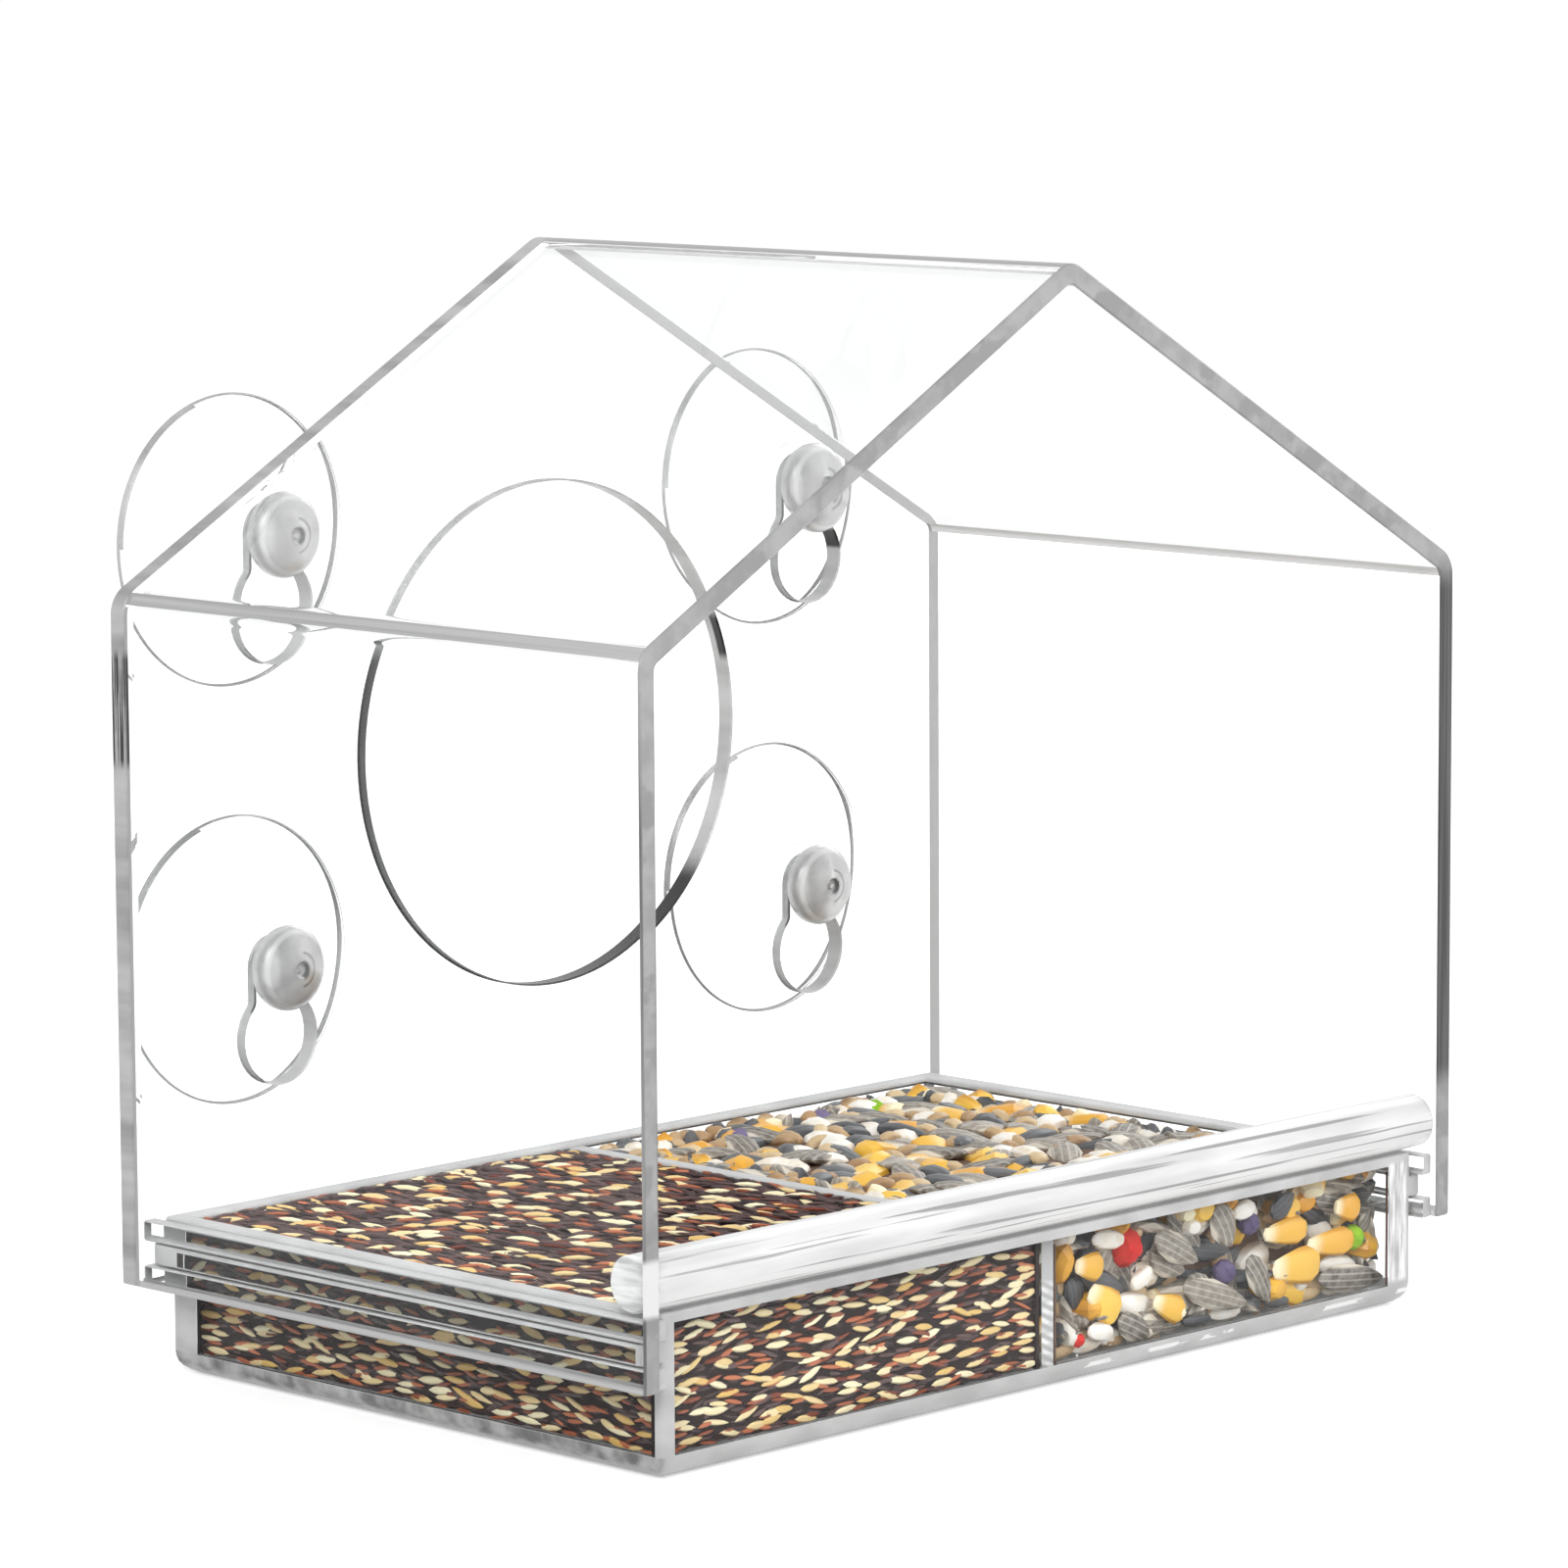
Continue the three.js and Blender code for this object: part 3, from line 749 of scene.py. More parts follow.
def quarter(inset, z, radius, start, half):
    """Rings of a quarter-round edge about the centre (inset, z), in steps from the angle start downwards."""
    angle = start - np.linspace(0, math.pi / 2, EDGE_STEPS + 1)
    return [tray_ring(inset - radius * math.cos(a), half, z + radius * math.sin(a)) for a in angle]


outer_rings = [
    *quarter(TRAY_FOOT_RADIUS, TRAY_FOOT_RADIUS, TRAY_FOOT_RADIUS, 0, tray_half)[::-1],
    tray_ring(0, tray_half, FLANGE_BOTTOM),
    *quarter(FLANGE_EDGE, FLANGE_BOTTOM + FLANGE_EDGE, FLANGE_EDGE, 0, flange_half)[::-1],
    tray_ring(0, flange_half, FLANGE_TOP - FLANGE_LINE),
    *quarter(FLANGE_EDGE, FLANGE_TOP - FLANGE_EDGE, FLANGE_EDGE, math.pi / 2, flange_half)[::-1],
    tray_ring(0, tray_half, FLANGE_TOP),
    tray_ring(0, tray_half, tray_high.z - RIM_LINE),
    *quarter(TRAY_EDGE, tray_high.z - TRAY_EDGE, TRAY_EDGE, math.pi / 2, tray_half)[::-1],
]
inner_rings = [
    *quarter(TRAY_WALL - TRAY_EDGE, tray_high.z - TRAY_EDGE, TRAY_EDGE, math.pi, tray_half)[::-1],
    tray_ring(TRAY_WALL, tray_half, tray_high.z - INNER_LINE),
    *quarter(TRAY_WALL + TRAY_INNER_RADIUS, TRAY_FLOOR + TRAY_INNER_RADIUS, TRAY_INNER_RADIUS, 0, tray_half),
]


def through_rings(rings):
    """Closed solid through rings of equally many points, with a flat face at both ends."""
    count = len(rings[0])
    end = np.arange(count)[None]
    quads = band_quads(len(rings), count)
    return np.concatenate(rings), [quads, end[:, ::-1], end + count * (len(rings) - 1)]


def drain_places(start, end):
    """Evenly spread hole centres between two margins."""
    span = end - start - 2 * DRAIN_MARGIN
    return start + DRAIN_MARGIN + span * np.linspace(0, 1, max(1, round(span / DRAIN_PITCH)) + 1)


def drilled(piece):
    """Cuts the drain holes through the floor of the tray."""
    columns = drain_places(DIVIDER_HALF, inside_x)
    rows = drain_places(inside_front, inside_rear)
    x, y = np.meshgrid(np.concatenate([-columns, columns]), rows)
    angle = 2 * math.pi * np.arange(DRAIN_SIDES) / DRAIN_SIDES
    rim = DRAIN_RADIUS * np.stack([np.cos(angle), np.sin(angle)], axis=1)
    centres = np.stack([x.ravel(), y.ravel()], axis=1)[:, None]
    rings = [np.insert((centres + rim).reshape(-1, 2), 2, z, axis=1) for z in (-TRAY_FLOOR, 2 * TRAY_FLOOR)]
    total = len(rings[0])
    near = np.arange(total).reshape(-1, DRAIN_SIDES)
    far = np.roll(near, -1, axis=1)
    sides = np.stack([near, far, far + total, near + total], axis=-1).reshape(-1, 4)
    cutter = new_piece("drain_cutter", np.concatenate(rings), [sides, near[:, ::-1], near + total], [])
    cut = piece.modifiers.new("drain_holes", "BOOLEAN")
    cut.operation = "DIFFERENCE"
    cut.object = cutter
    bpy.context.view_layer.update()
    finished = bpy.data.meshes.new_from_object(piece.evaluated_get(bpy.context.evaluated_depsgraph_get()))
    piece.modifiers.clear()
    piece.data = finished
    bpy.data.objects.remove(cutter)


def tray_tone(tree):
    """Cool mid grey with soft clouds, darker patches low on the left, and white glints on the front: painted
    highlights.
    """
    x, y, z = place_axes(tree)
    clouds = grey_streaks(tree, (90, 90, 160), 0.46, 0.6)
    dark_patches = grey_streaks(tree, (900, 260, 60), 0.13, 0.5)
    breaks = grey_streaks(tree, (160, 900, 60), -1, 2)
    low = rise(tree, z, 3.5 * MM, 3.2 * MM)
    floor_side = all_of(tree, low, rise(tree, x, -78 * MM, -79 * MM))
    at_front = rise(tree, y, tray_low.y + 3 * MM, tray_low.y + 2 * MM)
    # Painted highlight: a broken white line along the front of the floor band.
    line = all_of(tree, within(tree, z, 1.9 * MM, 2.6 * MM, 0.12 * MM), at_front, rise(tree, x, 0, 6 * MM))
    # Painted highlights: white glints on the right end of the front strip.
    far_end = all_of(
        tree, at_front, rise(tree, x, STRIP_FAR - 0.1 * MM, STRIP_FAR), rise(tree, x, 78.4 * MM, 78 * MM),
        within(tree, z, 4 * MM, 22 * MM, 0.5 * MM),
    )
    glints = grey_streaks(tree, (1500, 300, 160), 0.4, 1)
    toned = mixed(tree, far_end, mixed(tree, floor_side, clouds, dark_patches), glints)
    return mixed(tree, all_of(tree, line, rise(tree, breaks, 0.5, 1)), toned, 0.9)


tray_points, tray_faces = through_rings([*outer_rings, *inner_rings])
tray_middle = tray_points[tray_faces[0]].mean(axis=1)
tray_height = tray_middle[:, 2]
outside = np.arange(len(tray_middle)) < len(outer_rings) * len(outer_rings[0])
at_side = np.abs(tray_middle[:, 0]) > inside_x
off_middle = np.abs(tray_middle[:, 1] - (tray_low.y + tray_high.y) / 2)
past_end = off_middle > (tray_high.y - tray_low.y) / 2 - TRAY_CORNER
at_corner = at_side & past_end & (np.abs(tray_middle[:, 0]) > tray_half - TRAY_CORNER)
at_corner &= (tray_middle[:, 0] > -tray_half + 0.4 * MM) | (tray_middle[:, 1] > 0)
at_corner |= (tray_middle[:, 0] < -inside_x) & (tray_middle[:, 1] > STRIP_REAR)
at_strip = (tray_middle[:, 0] > STRIP_FAR) | (tray_middle[:, 0] < STRIP_NEAR)
at_corner |= at_strip & (tray_middle[:, 1] < inside_front)
on_flange = np.abs(tray_height - FLANGE_TOP + FLANGE_LINE / 2) <= FLANGE_LINE / 2
under_flange = np.abs(tray_height - FLANGE_BOTTOM - FLANGE_EDGE / 2) <= FLANGE_EDGE / 2
lines = at_corner | at_side & (on_flange | under_flange)
lines |= (tray_height < TRAY_FOOT_RADIUS) | (tray_height > tray_high.z - RIM_LINE)
tray_slots = np.append(np.where(outside, lines, tray_height > tray_high.z - INNER_LINE), [True, False])
tray_coats = [clear_plastic("tray_clear", TRAY_IOR), grey_plastic("tray_edge", tray_tone)]
tray = new_piece("moulded_tray", tray_points, tray_faces, tray_coats, tray_slots)
drilled(tray)
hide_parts("seed_tray")
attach(tray, "tray")

# Divider: a plate of the same clear plastic, cemented across the tray between the two kinds of seed.
# Its ends, where you look along the plate, show white slanting glints.
DIVIDER_EDGE = 0.4 * MM

divider_low, divider_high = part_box("tray_divider")
divider_foot = divider_low.z + CEMENT_GAP
divider_section = [
    (divider_high.x, divider_foot, DIVIDER_EDGE), (divider_high.x, divider_high.z, DIVIDER_EDGE),
    (divider_low.x, divider_high.z, DIVIDER_EDGE), (divider_low.x, divider_foot, DIVIDER_EDGE),
]
divider_points, divider_quads, divider_ends = cut_plate(
    [rounded_outline(divider_section, EDGE_STEPS)[0]], divider_low.y + CEMENT_GAP, divider_high.y - CEMENT_GAP
)


def divider_tone(tree):
    """Plain grey at the top, and white slanting glints below."""
    x, y, z = place_axes(tree)
    slant = maths(tree, "ADD", z, maths(tree, "MULTIPLY", x, 0.5))
    wave = maths(tree, "SINE", maths(tree, "MULTIPLY", slant, 4200))
    glints = mixed(tree, rise(tree, wave, -0.9, 0.9), 0.46, grey_streaks(tree, (300, 300, 900), 0.6, 0.95))
    return mixed(tree, rise(tree, z, 16 * MM, 14.5 * MM), 0.5, glints)


divider_coats = [clear_plastic("divider_clear", CONTACT_IOR), grey_plastic("divider_end", divider_tone)]
on_top = divider_points[divider_quads].mean(axis=1)[:, 2] > divider_high.z - DIVIDER_EDGE
divider_slots = np.append(on_top, np.ones(len(divider_ends), bool))
divider_faces = [divider_quads, divider_ends]
divider = new_piece("compartment_divider", divider_points, divider_faces, divider_coats, divider_slots)
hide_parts("tray_divider")
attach(divider, "tray")

# Perch: an extruded acrylic rod across the open front, its ends cemented to the walls. It looks milky
# white, with faint lines from the extrusion along it.
PERCH_SIDES = 96
PERCH_EDGE = 0.3 * MM
PERCH_ROUGHNESS = 0.18


def ring_faces(rows, sides):
    """Quads between rows of points round an axis, and triangles to a first and a last pole."""
    near = np.arange(sides)
    far = (near + 1) % sides
    total = rows * sides
    first = np.stack([near, np.full(sides, total), far], axis=1)
    last = np.stack([near + total - sides, far + total - sides, np.full(sides, total + 1)], axis=1)
    return [band_quads(rows, sides), first, last]


def turned(profile, sides):
    """Profile of (place along the axis, radius) that starts and ends on the axis, turned round it.

    Returns points (along, radius cos a, radius sin a), and the faces row by row with the two ends last.
    """
    along, radius = np.asarray(profile)[1:-1].T
    angle = 2 * math.pi * np.arange(sides) / sides
    rings = np.stack([
        along[:, None] + 0 * angle, radius[:, None] * np.cos(angle), radius[:, None] * np.sin(angle)
    ], axis=-1)
    poles = [[profile[0][0], 0, 0], [profile[-1][0], 0, 0]]
    return np.concatenate([rings.reshape(-1, 3), poles]), ring_faces(len(along), sides)


def perch_tone(tree):
    """Milky white with fine grey lines along X, and streaked at both ends. Underneath it is painted brighter:
    painted light against its shade.
    """
    x, y, z = place_axes(tree)
    end = rise(tree, maths(tree, "ABSOLUTE", x), perch_high.x - 0.5 * MM, perch_high.x - 0.4 * MM)
    body = grey_streaks(tree, (40, 260, 260), 0.66, 0.82)
    # Painted light: the underside is lightened towards 0.96 against its shade.
    body = mixed(tree, rise(tree, z, perch_middle.z - 0.5 * MM, perch_low.z + 0.8 * MM), body, 0.96)
    scratches = grey_streaks(tree, (14, 1100, 1100), -2.2, 1.2)
    body = mixed(tree, rise(tree, scratches, 0.5, 1), body, 0.35)
    collar = grey_streaks(tree, (90, 150, 900), 0.5, 0.9)
    return mixed(tree, end, body, collar)


perch_low, perch_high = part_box("perch_rod")
perch_radius = (perch_high.z - perch_low.z) / 2
perch_middle = (perch_low + perch_high) / 2
perch_end = perch_high.x - CEMENT_GAP
perch_profile = [
    (-perch_end, 0), (-perch_end, perch_radius - PERCH_EDGE), (-perch_end + PERCH_EDGE, perch_radius),
    (perch_end - PERCH_EDGE, perch_radius), (perch_end, perch_radius - PERCH_EDGE), (perch_end, 0),
]
perch_points, perch_faces = turned(perch_profile, PERCH_SIDES)
perch_points += np.array([0, perch_middle.y, perch_middle.z])
perch_coat = grey_plastic("perch_milky", perch_tone, PERCH_ROUGHNESS)
perch = new_piece("perch", perch_points, perch_faces, [perch_coat])
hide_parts("perch_rod")
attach(perch, "house")

# Suction cups: soft clear vinyl in one moulding. The bell is nearly invisible but for its lip, and the
# button head inside the house is thick enough to look milky grey, with a dimple from its mould.
CUP_SIDES = 96
BELL_STEPS = 28
LIP_STEPS = 7
HEAD_STEPS = 8
DOME_STEPS = 18
CUP_RADIUS = 21.5 * MM
CUP_LAND = 20.3 * MM
CUP_REACH = 8.5 * MM
CUP_HOLLOW = 5.3 * MM
CUP_LIP = 0.6 * MM
COLLAR_RADIUS = 6.2 * MM
COLLAR_TOP = 1.4 * MM
COLLAR_BOTTOM = 0.3 * MM
NECK_RADIUS = 4.2 * MM
HEAD_SEAT = -3.3 * MM
HEAD_RADIUS = 6.3 * MM
HEAD_EDGE = 0.8 * MM
HEAD_END = -7.9 * MM
HEAD_WIDEST_SHARE = 0.36
HEAD_WIDEST = HEAD_SEAT + (HEAD_END - HEAD_SEAT) * HEAD_WIDEST_SHARE
DIMPLE_RADIUS = 1.3 * MM
DIMPLE_DEPTH = 0.8 * MM
NUB_RADIUS = 0.5 * MM
LIP_LINE = 0.5 * MM
LEFT_LINE = 0.95 * MM
BELL_IOR = 1.04
HEAD_IOR = 1.4


def cup_profile():
    """Places along the axis and radii, from the hollow's middle over lip, bell, neck and head to the dimple.

    The hollow is a parabola, the bell's face another, the head's edge a quarter round and its end an ellipse.
    """
    share = np.linspace(0, 1, BELL_STEPS)
    hollow = np.stack([CUP_REACH - CUP_HOLLOW * (1 - share**2), CUP_LAND * share], axis=1)
    turn = np.linspace(0, math.pi, LIP_STEPS)
    lip_middle = CUP_REACH - CUP_LIP / 2
    edge = CUP_RADIUS - CUP_LIP / 2
    lip = np.stack([lip_middle + CUP_LIP / 2 * np.cos(turn), edge + CUP_LIP / 2 * np.sin(turn)], axis=1)
    radius = CUP_RADIUS - CUP_LIP + (COLLAR_RADIUS - CUP_RADIUS + CUP_LIP) * share
    climb = (radius**2 - COLLAR_RADIUS**2) / (CUP_RADIUS**2 - COLLAR_RADIUS**2)
    face = np.stack([COLLAR_TOP + (CUP_REACH - CUP_LIP - COLLAR_TOP) * climb, radius], axis=1)
    neck = [(COLLAR_BOTTOM, COLLAR_RADIUS), (COLLAR_BOTTOM, NECK_RADIUS), (HEAD_SEAT, NECK_RADIUS)]
    quarter_turn = np.linspace(0, math.pi / 2, HEAD_STEPS)
    back = np.stack([
        HEAD_SEAT + (HEAD_WIDEST - HEAD_SEAT) * (1 - np.cos(quarter_turn)),
        HEAD_RADIUS - HEAD_EDGE + HEAD_EDGE * np.sin(quarter_turn),
    ], axis=1)
    sweep = np.linspace(0, math.acos(DIMPLE_RADIUS / HEAD_RADIUS), DOME_STEPS)[1:]
    bulge = (HEAD_END - HEAD_WIDEST) * np.sin(sweep) / math.sin(sweep[-1])
    dome = np.stack([HEAD_WIDEST + bulge, HEAD_RADIUS * np.cos(sweep)], axis=1)
    bottom = HEAD_END + DIMPLE_DEPTH
    dimple = [
        (HEAD_END + DIMPLE_DEPTH * 0.7, DIMPLE_RADIUS * 0.8), (bottom, NUB_RADIUS * 1.3),
        (HEAD_END + DIMPLE_DEPTH * 0.45, NUB_RADIUS * 0.8), (HEAD_END + DIMPLE_DEPTH * 0.4, 0),
    ]
    bell = np.concatenate([hollow, lip, face])
    return np.concatenate([bell, neck, back, dome, dimple]), len(bell)


def attribute_axes(tree, name):
    """X, Y and Z of the vector kept on the piece under this name."""
    node = tree.nodes.new("ShaderNodeAttribute")
    node.attribute_name = name
    axes = tree.nodes.new("ShaderNodeSeparateXYZ")
    tree.links.new(node.outputs["Vector"], axes.inputs[0])
    return axes.outputs


def vinyl_head():
    """Thick soft vinyl: milky grey, paler near its rim, with dark arcs where the dimple mirrors the room."""
    values = {"Transmission Weight": 0.25, "IOR": HEAD_IOR, "Roughness": 0.22}
    material, tree, shader = new_shader("vinyl_head", values)
    to_right, _, out = attribute_axes(tree, "off_axis")
    body = grey_streaks(tree, (260, 260, 260), 0.34, 0.46)
    near_rim = within(tree, out, HEAD_RADIUS - 1.1 * MM, HEAD_RADIUS - 0.5 * MM, 0.15 * MM)
    pale = mixed(tree, near_rim, body, 0.55)
    ring = within(tree, out, DIMPLE_RADIUS * 0.75, DIMPLE_RADIUS * 1.2, 0.12 * MM)
    outer_ring = within(tree, out, DIMPLE_RADIUS * 1.75, DIMPLE_RADIUS * 2.1, 0.12 * MM)
    arcs = all_of(tree, either(tree, ring, outer_ring), rise(tree, to_right, 0.1 * MM, 0.6 * MM))
    tree.links.new(grey_colour(tree, mixed(tree, arcs, pale, 0.12)), shader.inputs["Base Color"])
    let_lamps_through(tree, shader)
    return material


cup_line, bell_rows = cup_profile()
BELL, HEAD, LIP = range(3)
cup_coats = [
    clear_plastic("vinyl_bell", BELL_IOR),
    vinyl_head(),
    grey_plastic("vinyl_lip", lambda tree: grey_streaks(tree, (60, 60, 60), 0.2, 0.5)),
]
row = np.arange(len(cup_line) - 3)[:, None]
least = np.minimum(cup_line[1:-2, 1], cup_line[2:-1, 1])[:, None]
side_turn = 2 * math.pi * (np.arange(CUP_SIDES) + 0.5) / CUP_SIDES
line_width = np.where((np.sin(side_turn) < -0.3) & (np.cos(side_turn) > 0), LEFT_LINE, LIP_LINE)
cup_rows = np.where(least > CUP_RADIUS - line_width, LIP, np.where(row < bell_rows + 1, BELL, HEAD))
cup_slots = np.concatenate([cup_rows.ravel(), np.repeat([BELL, HEAD], CUP_SIDES)])
for name in CUPS:
    x, z = cup_axis(name)
    points, faces = turned(cup_line, CUP_SIDES)
    placed = points[:, [2, 0, 1]] + np.array([x, panel_high.y, z])
    cup = new_piece(f"suction_cup_{name}_vinyl", placed, faces, cup_coats, cup_slots)
    away = np.linalg.norm(points[:, 1:], axis=1)
    point_values(cup, "off_axis", np.stack([points[:, 2], points[:, 1], away], axis=1))
    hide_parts(f"suction_cup_{name}")
    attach(cup, f"cup_{name}")

# Small seed: the left compartment is full of long seeds in dark brown, cream and rust. They lie
# along the walls round a dark block, painted shade for the gaps deep in the heap, and slide out
# with the tray.
FILL_GAP = 0.12 * MM
FILL_TOP = 22.95 * MM
LYING = unit(np.array([0.7, -0.71, 0]))
SMALL_LEAN = np.array([0, 0, -0.26])
TOP_FACING = np.array([0.45, 0.45, -0.77])
SMALL_RANDOM = 11
SMALL_SIDES = 6
SMALL_SPREAD = 0.17
SMALL_TIP = 0.05
SMALL_THICKNESS = (0.6, 0.8)
SMALL_ROUGHNESS = 0.42
SMALL_CORE = (0.5 * MM, 0.5 * MM, 1.1 * MM)
SMALL_POST = 0.7 * MM
# Painted shade at the rims of the small seeds, where they meet.
SMALL_RIM_SHADE = "#2A1814"
# Each kind's pitch along and across its rows, how many times further apart they are on top, and its
# least and largest depth, length and width in mm
DARK_SEEDS = ((2.9 * MM, 0.84 * MM), 1.3, (0.15, 0.6), (3.4, 5.4), (0.6, 1.0))
RUST_SEEDS = ((5.2 * MM, 1.5 * MM), 3.6, (0.05, 0.2), (3.0, 4.8), (0.6, 0.95))
CREAM_SEEDS = ((5.4 * MM, 1.8 * MM), 3.2, (0, 0.1), (3.8, 5.4), (0.9, 1.45))


def linear(code):
    """Linear colour of a hex code such as #E8D8A0."""
    value = np.array([int(code[k : k + 2], 16) for k in (1, 3, 5)]) / 255
    return (*np.where(value <= 0.04045, value / 12.92, ((value + 0.055) / 1.055) ** 2.4), 1)


def seed_form(stations, widths, sides):
    """Unit seed along x from -1 to 1, with rings of these half widths at the stations: points and faces."""
    profile = [(-1, 0), *zip(stations, widths), (1, 0)]
    return turned(profile, sides)


def compartment(left, right_side):
    """Lower and upper corner of the room for seed between two heights and the inner walls."""
    low = np.array([left + FILL_GAP, inside_front + FILL_GAP, TRAY_FLOOR + FILL_GAP])
    high = np.array([right_side - FILL_GAP, inside_rear - FILL_GAP, FILL_TOP])
    return low, high


def wall_spots(low, high, pitch, dice):
    """Jittered grids over the six sides of a box: places and inward directions."""
    places, inward = [], []
    for axis in range(3):
        across = [k for k in range(3) if k != axis]
        span = (high - low)[across]
        cells = np.maximum(1, np.round(span / pitch)).astype(int)
        grid = np.stack(np.meshgrid(*map(np.arange, cells), indexing="ij"), axis=-1).reshape(-1, 2)
        for side in (-1, 1):
            share = (grid + dice.random(grid.shape)) / cells
            place = np.empty((len(grid), 3))
            place[:, across] = low[across] + share * span
            place[:, axis] = high[axis] if side > 0 else low[axis]
            places.append(place)
            direction = np.zeros((len(grid), 3))
            direction[:, axis] = -side
            inward.append(direction)
    return np.concatenate(places), np.concatenate(inward)


def lying_turns(inward, lean, spread, tip, dice):
    """For each seed its long, wide and thick directions as columns, flat on the wall but for spread and tip.

    The long one starts from LYING in the plane of the wall, turned by lean.
    """
    count = len(inward)
    along = unit(LYING - (inward @ LYING)[:, None] * inward)
    wide = np.cross(inward, along)
    turn = (inward @ lean + dice.normal(0, spread, count))[:, None]
    lift = dice.normal(0, tip, count)[:, None]
    long = unit(np.cos(turn) * along + np.sin(turn) * wide)
    thick = np.cos(lift) * inward - np.sin(lift) * long
    long = np.cos(lift) * long + np.sin(lift) * inward
    return np.stack([long, np.cross(thick, long), thick], axis=-1)


def kept_inside(places, inward, turns, sizes, depth, low, high):
    """Seed centres moved in from the wall by their own reach and depth, and off the other walls."""
    reach = np.sqrt(((turns * sizes[:, None, :]) ** 2).sum(axis=2))
    centres = places + inward * (reach + depth[:, None])
    return np.clip(centres, low + reach, high - reach)


def copies(form, centres, turns, sizes):
    """Points and faces of one unit seed repeated at these centres, turns and half sizes."""
    unit_points, faces = form
    count = np.arange(len(centres))[:, None, None] * len(unit_points)
    points = centres[:, None] + np.einsum("kij,kj,nj->kni", turns, sizes, unit_points)
    return points.reshape(-1, 3), [(block + count).reshape(-1, block.shape[1]) for block in faces]


def between(tree, share, first, second):
    """Colour between two; each is a hex code or a socket."""
    mix = tree.nodes.new("ShaderNodeMix")
    mix.data_type = "RGBA"
    linked(tree, share, mix.inputs["Factor"])
    for colour, socket in ((first, mix.inputs[6]), (second, mix.inputs[7])):
        linked(tree, linear(colour) if isinstance(colour, str) else colour, socket)
    return mix.outputs[2]


def spot_on_seed(tree):
    """X, Y and Z of the point on its unit seed, long, wide and thick, from -1 to 1."""
    return attribute_axes(tree, "spot")


def seed_coat(name, dark, light, rim_and_shade, roughness, pattern=None):
    """Seed coat between two colours by the number that each seed keeps, with a rim in a third.
    A rim darker than the coat is painted shade where the seeds meet; a paler one is the seed's own edge.

    pattern may lay a further colour over the coat.
    """
    material, tree, shader = new_shader(name, {"Roughness": roughness})
    coat = between(tree, attribute(tree, "tone"), dark, light)
    if pattern:
        coat = pattern(tree, coat)
    # Painted shade on most kinds: the coat turns to the rim colour towards the edges of the seed's width.
    edge = maths(tree, "ABSOLUTE", spot_on_seed(tree)[1])
    tree.links.new(between(tree, rise(tree, edge, 0.55, 1.05), coat, rim_and_shade), shader.inputs["Base Color"])
    return material


def add_seeds(name, form, centres, turns, sizes, material, dice):
    """One piece of seeds that rides on the tray, with a random tone for each seed."""
    points, faces = copies(form, centres, turns, sizes)
    seeds = new_piece(name, points, faces, [material])
    seeds.data.shade_smooth()
    point_values(seeds, "tone", np.repeat(dice.random(len(centres)), len(form[0])))
    point_values(seeds, "spot", np.tile(form[0], (len(centres), 1)))
    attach(seeds, "tray")


def add_shade_block(name, low, high, inset, post, colour, lids=()):
    """Plain block behind the seeds, with a square post in each upright corner. Its flat colour is painted
    shade, for the gaps deep in the heap.

    A lid is a further block, given by its insets from the lower and the upper corner.
    """
    corners = np.array([[x, y, z] for x in (0, 1) for y in (0, 1) for z in (0, 1)])
    quads = np.array([[0, 1, 3, 2], [4, 6, 7, 5], [0, 4, 5, 1], [2, 3, 7, 6], [0, 2, 6, 4], [1, 5, 7, 3]])
    boxes = [(low + np.array(inset), high - np.array(inset))]
    boxes += [(low + from_low, high - from_high) for from_low, from_high in lids]
    for x in (low[0], high[0] - post):
        for y in (low[1], high[1] - post):
            start = np.array([x, y, low[2]])
            boxes.append((start, np.array([x + post, y + post, high[2] - inset[2]])))
    points = np.concatenate([start + corners * (end - start) for start, end in boxes])
    faces = np.concatenate([quads + 8 * k for k in range(len(boxes))])
    material = new_shader(name, {"Base Color": linear(colour), "Roughness": DULL})[0]
    core = new_piece(name, points, [faces], [material])
    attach(core, "tray")


def wall_rows(low, high, cell, top_rows, dice):
    """Places in staggered rows along the seeds' own direction, on all sides of a box but its floor.

    On top the rows are top_rows times as far apart.
    """
    middle, half = (low + high) / 2, (high - low) / 2
    reach = np.linalg.norm(half)
    places, inward = [], []
    for normal in ((1, 0, 0), (-1, 0, 0), (0, 1, 0), (0, -1, 0), (0, 0, -1)):
        normal = np.array(normal, float)
        pitch = np.array([cell[0], cell[1] * (top_rows if normal[2] else 1)])
        u, v = np.meshgrid(*(np.arange(-reach, reach, step) for step in pitch), indexing="ij")
        u = u + pitch[0] / 2 * (np.arange(u.shape[1]) % 2)
        along = unit(LYING - (normal @ LYING) * normal)
        shift = (dice.random((*u.shape, 2)) - 0.5) * pitch * 0.9
        u = u + shift[..., 0]
        v = v + shift[..., 1]
        flat = (u[..., None] * along + v[..., None] * np.cross(normal, along)).reshape(-1, 3)
        flat = flat[(np.abs(flat) <= half * (normal == 0) + 1e-9).all(axis=1)]
        places.append(middle + flat - normal * half)
        inward.append(np.tile(normal, (len(flat), 1)))
    return np.concatenate(places), np.concatenate(inward)


def half_sizes(full, dice, count):
    """Random half sizes of count seeds between the least and largest full sizes, given in mm."""
    ranges = np.array(full) * MM / 2
    return ranges[:, 0] + dice.random((count, 3)) * (ranges[:, 1] - ranges[:, 0])


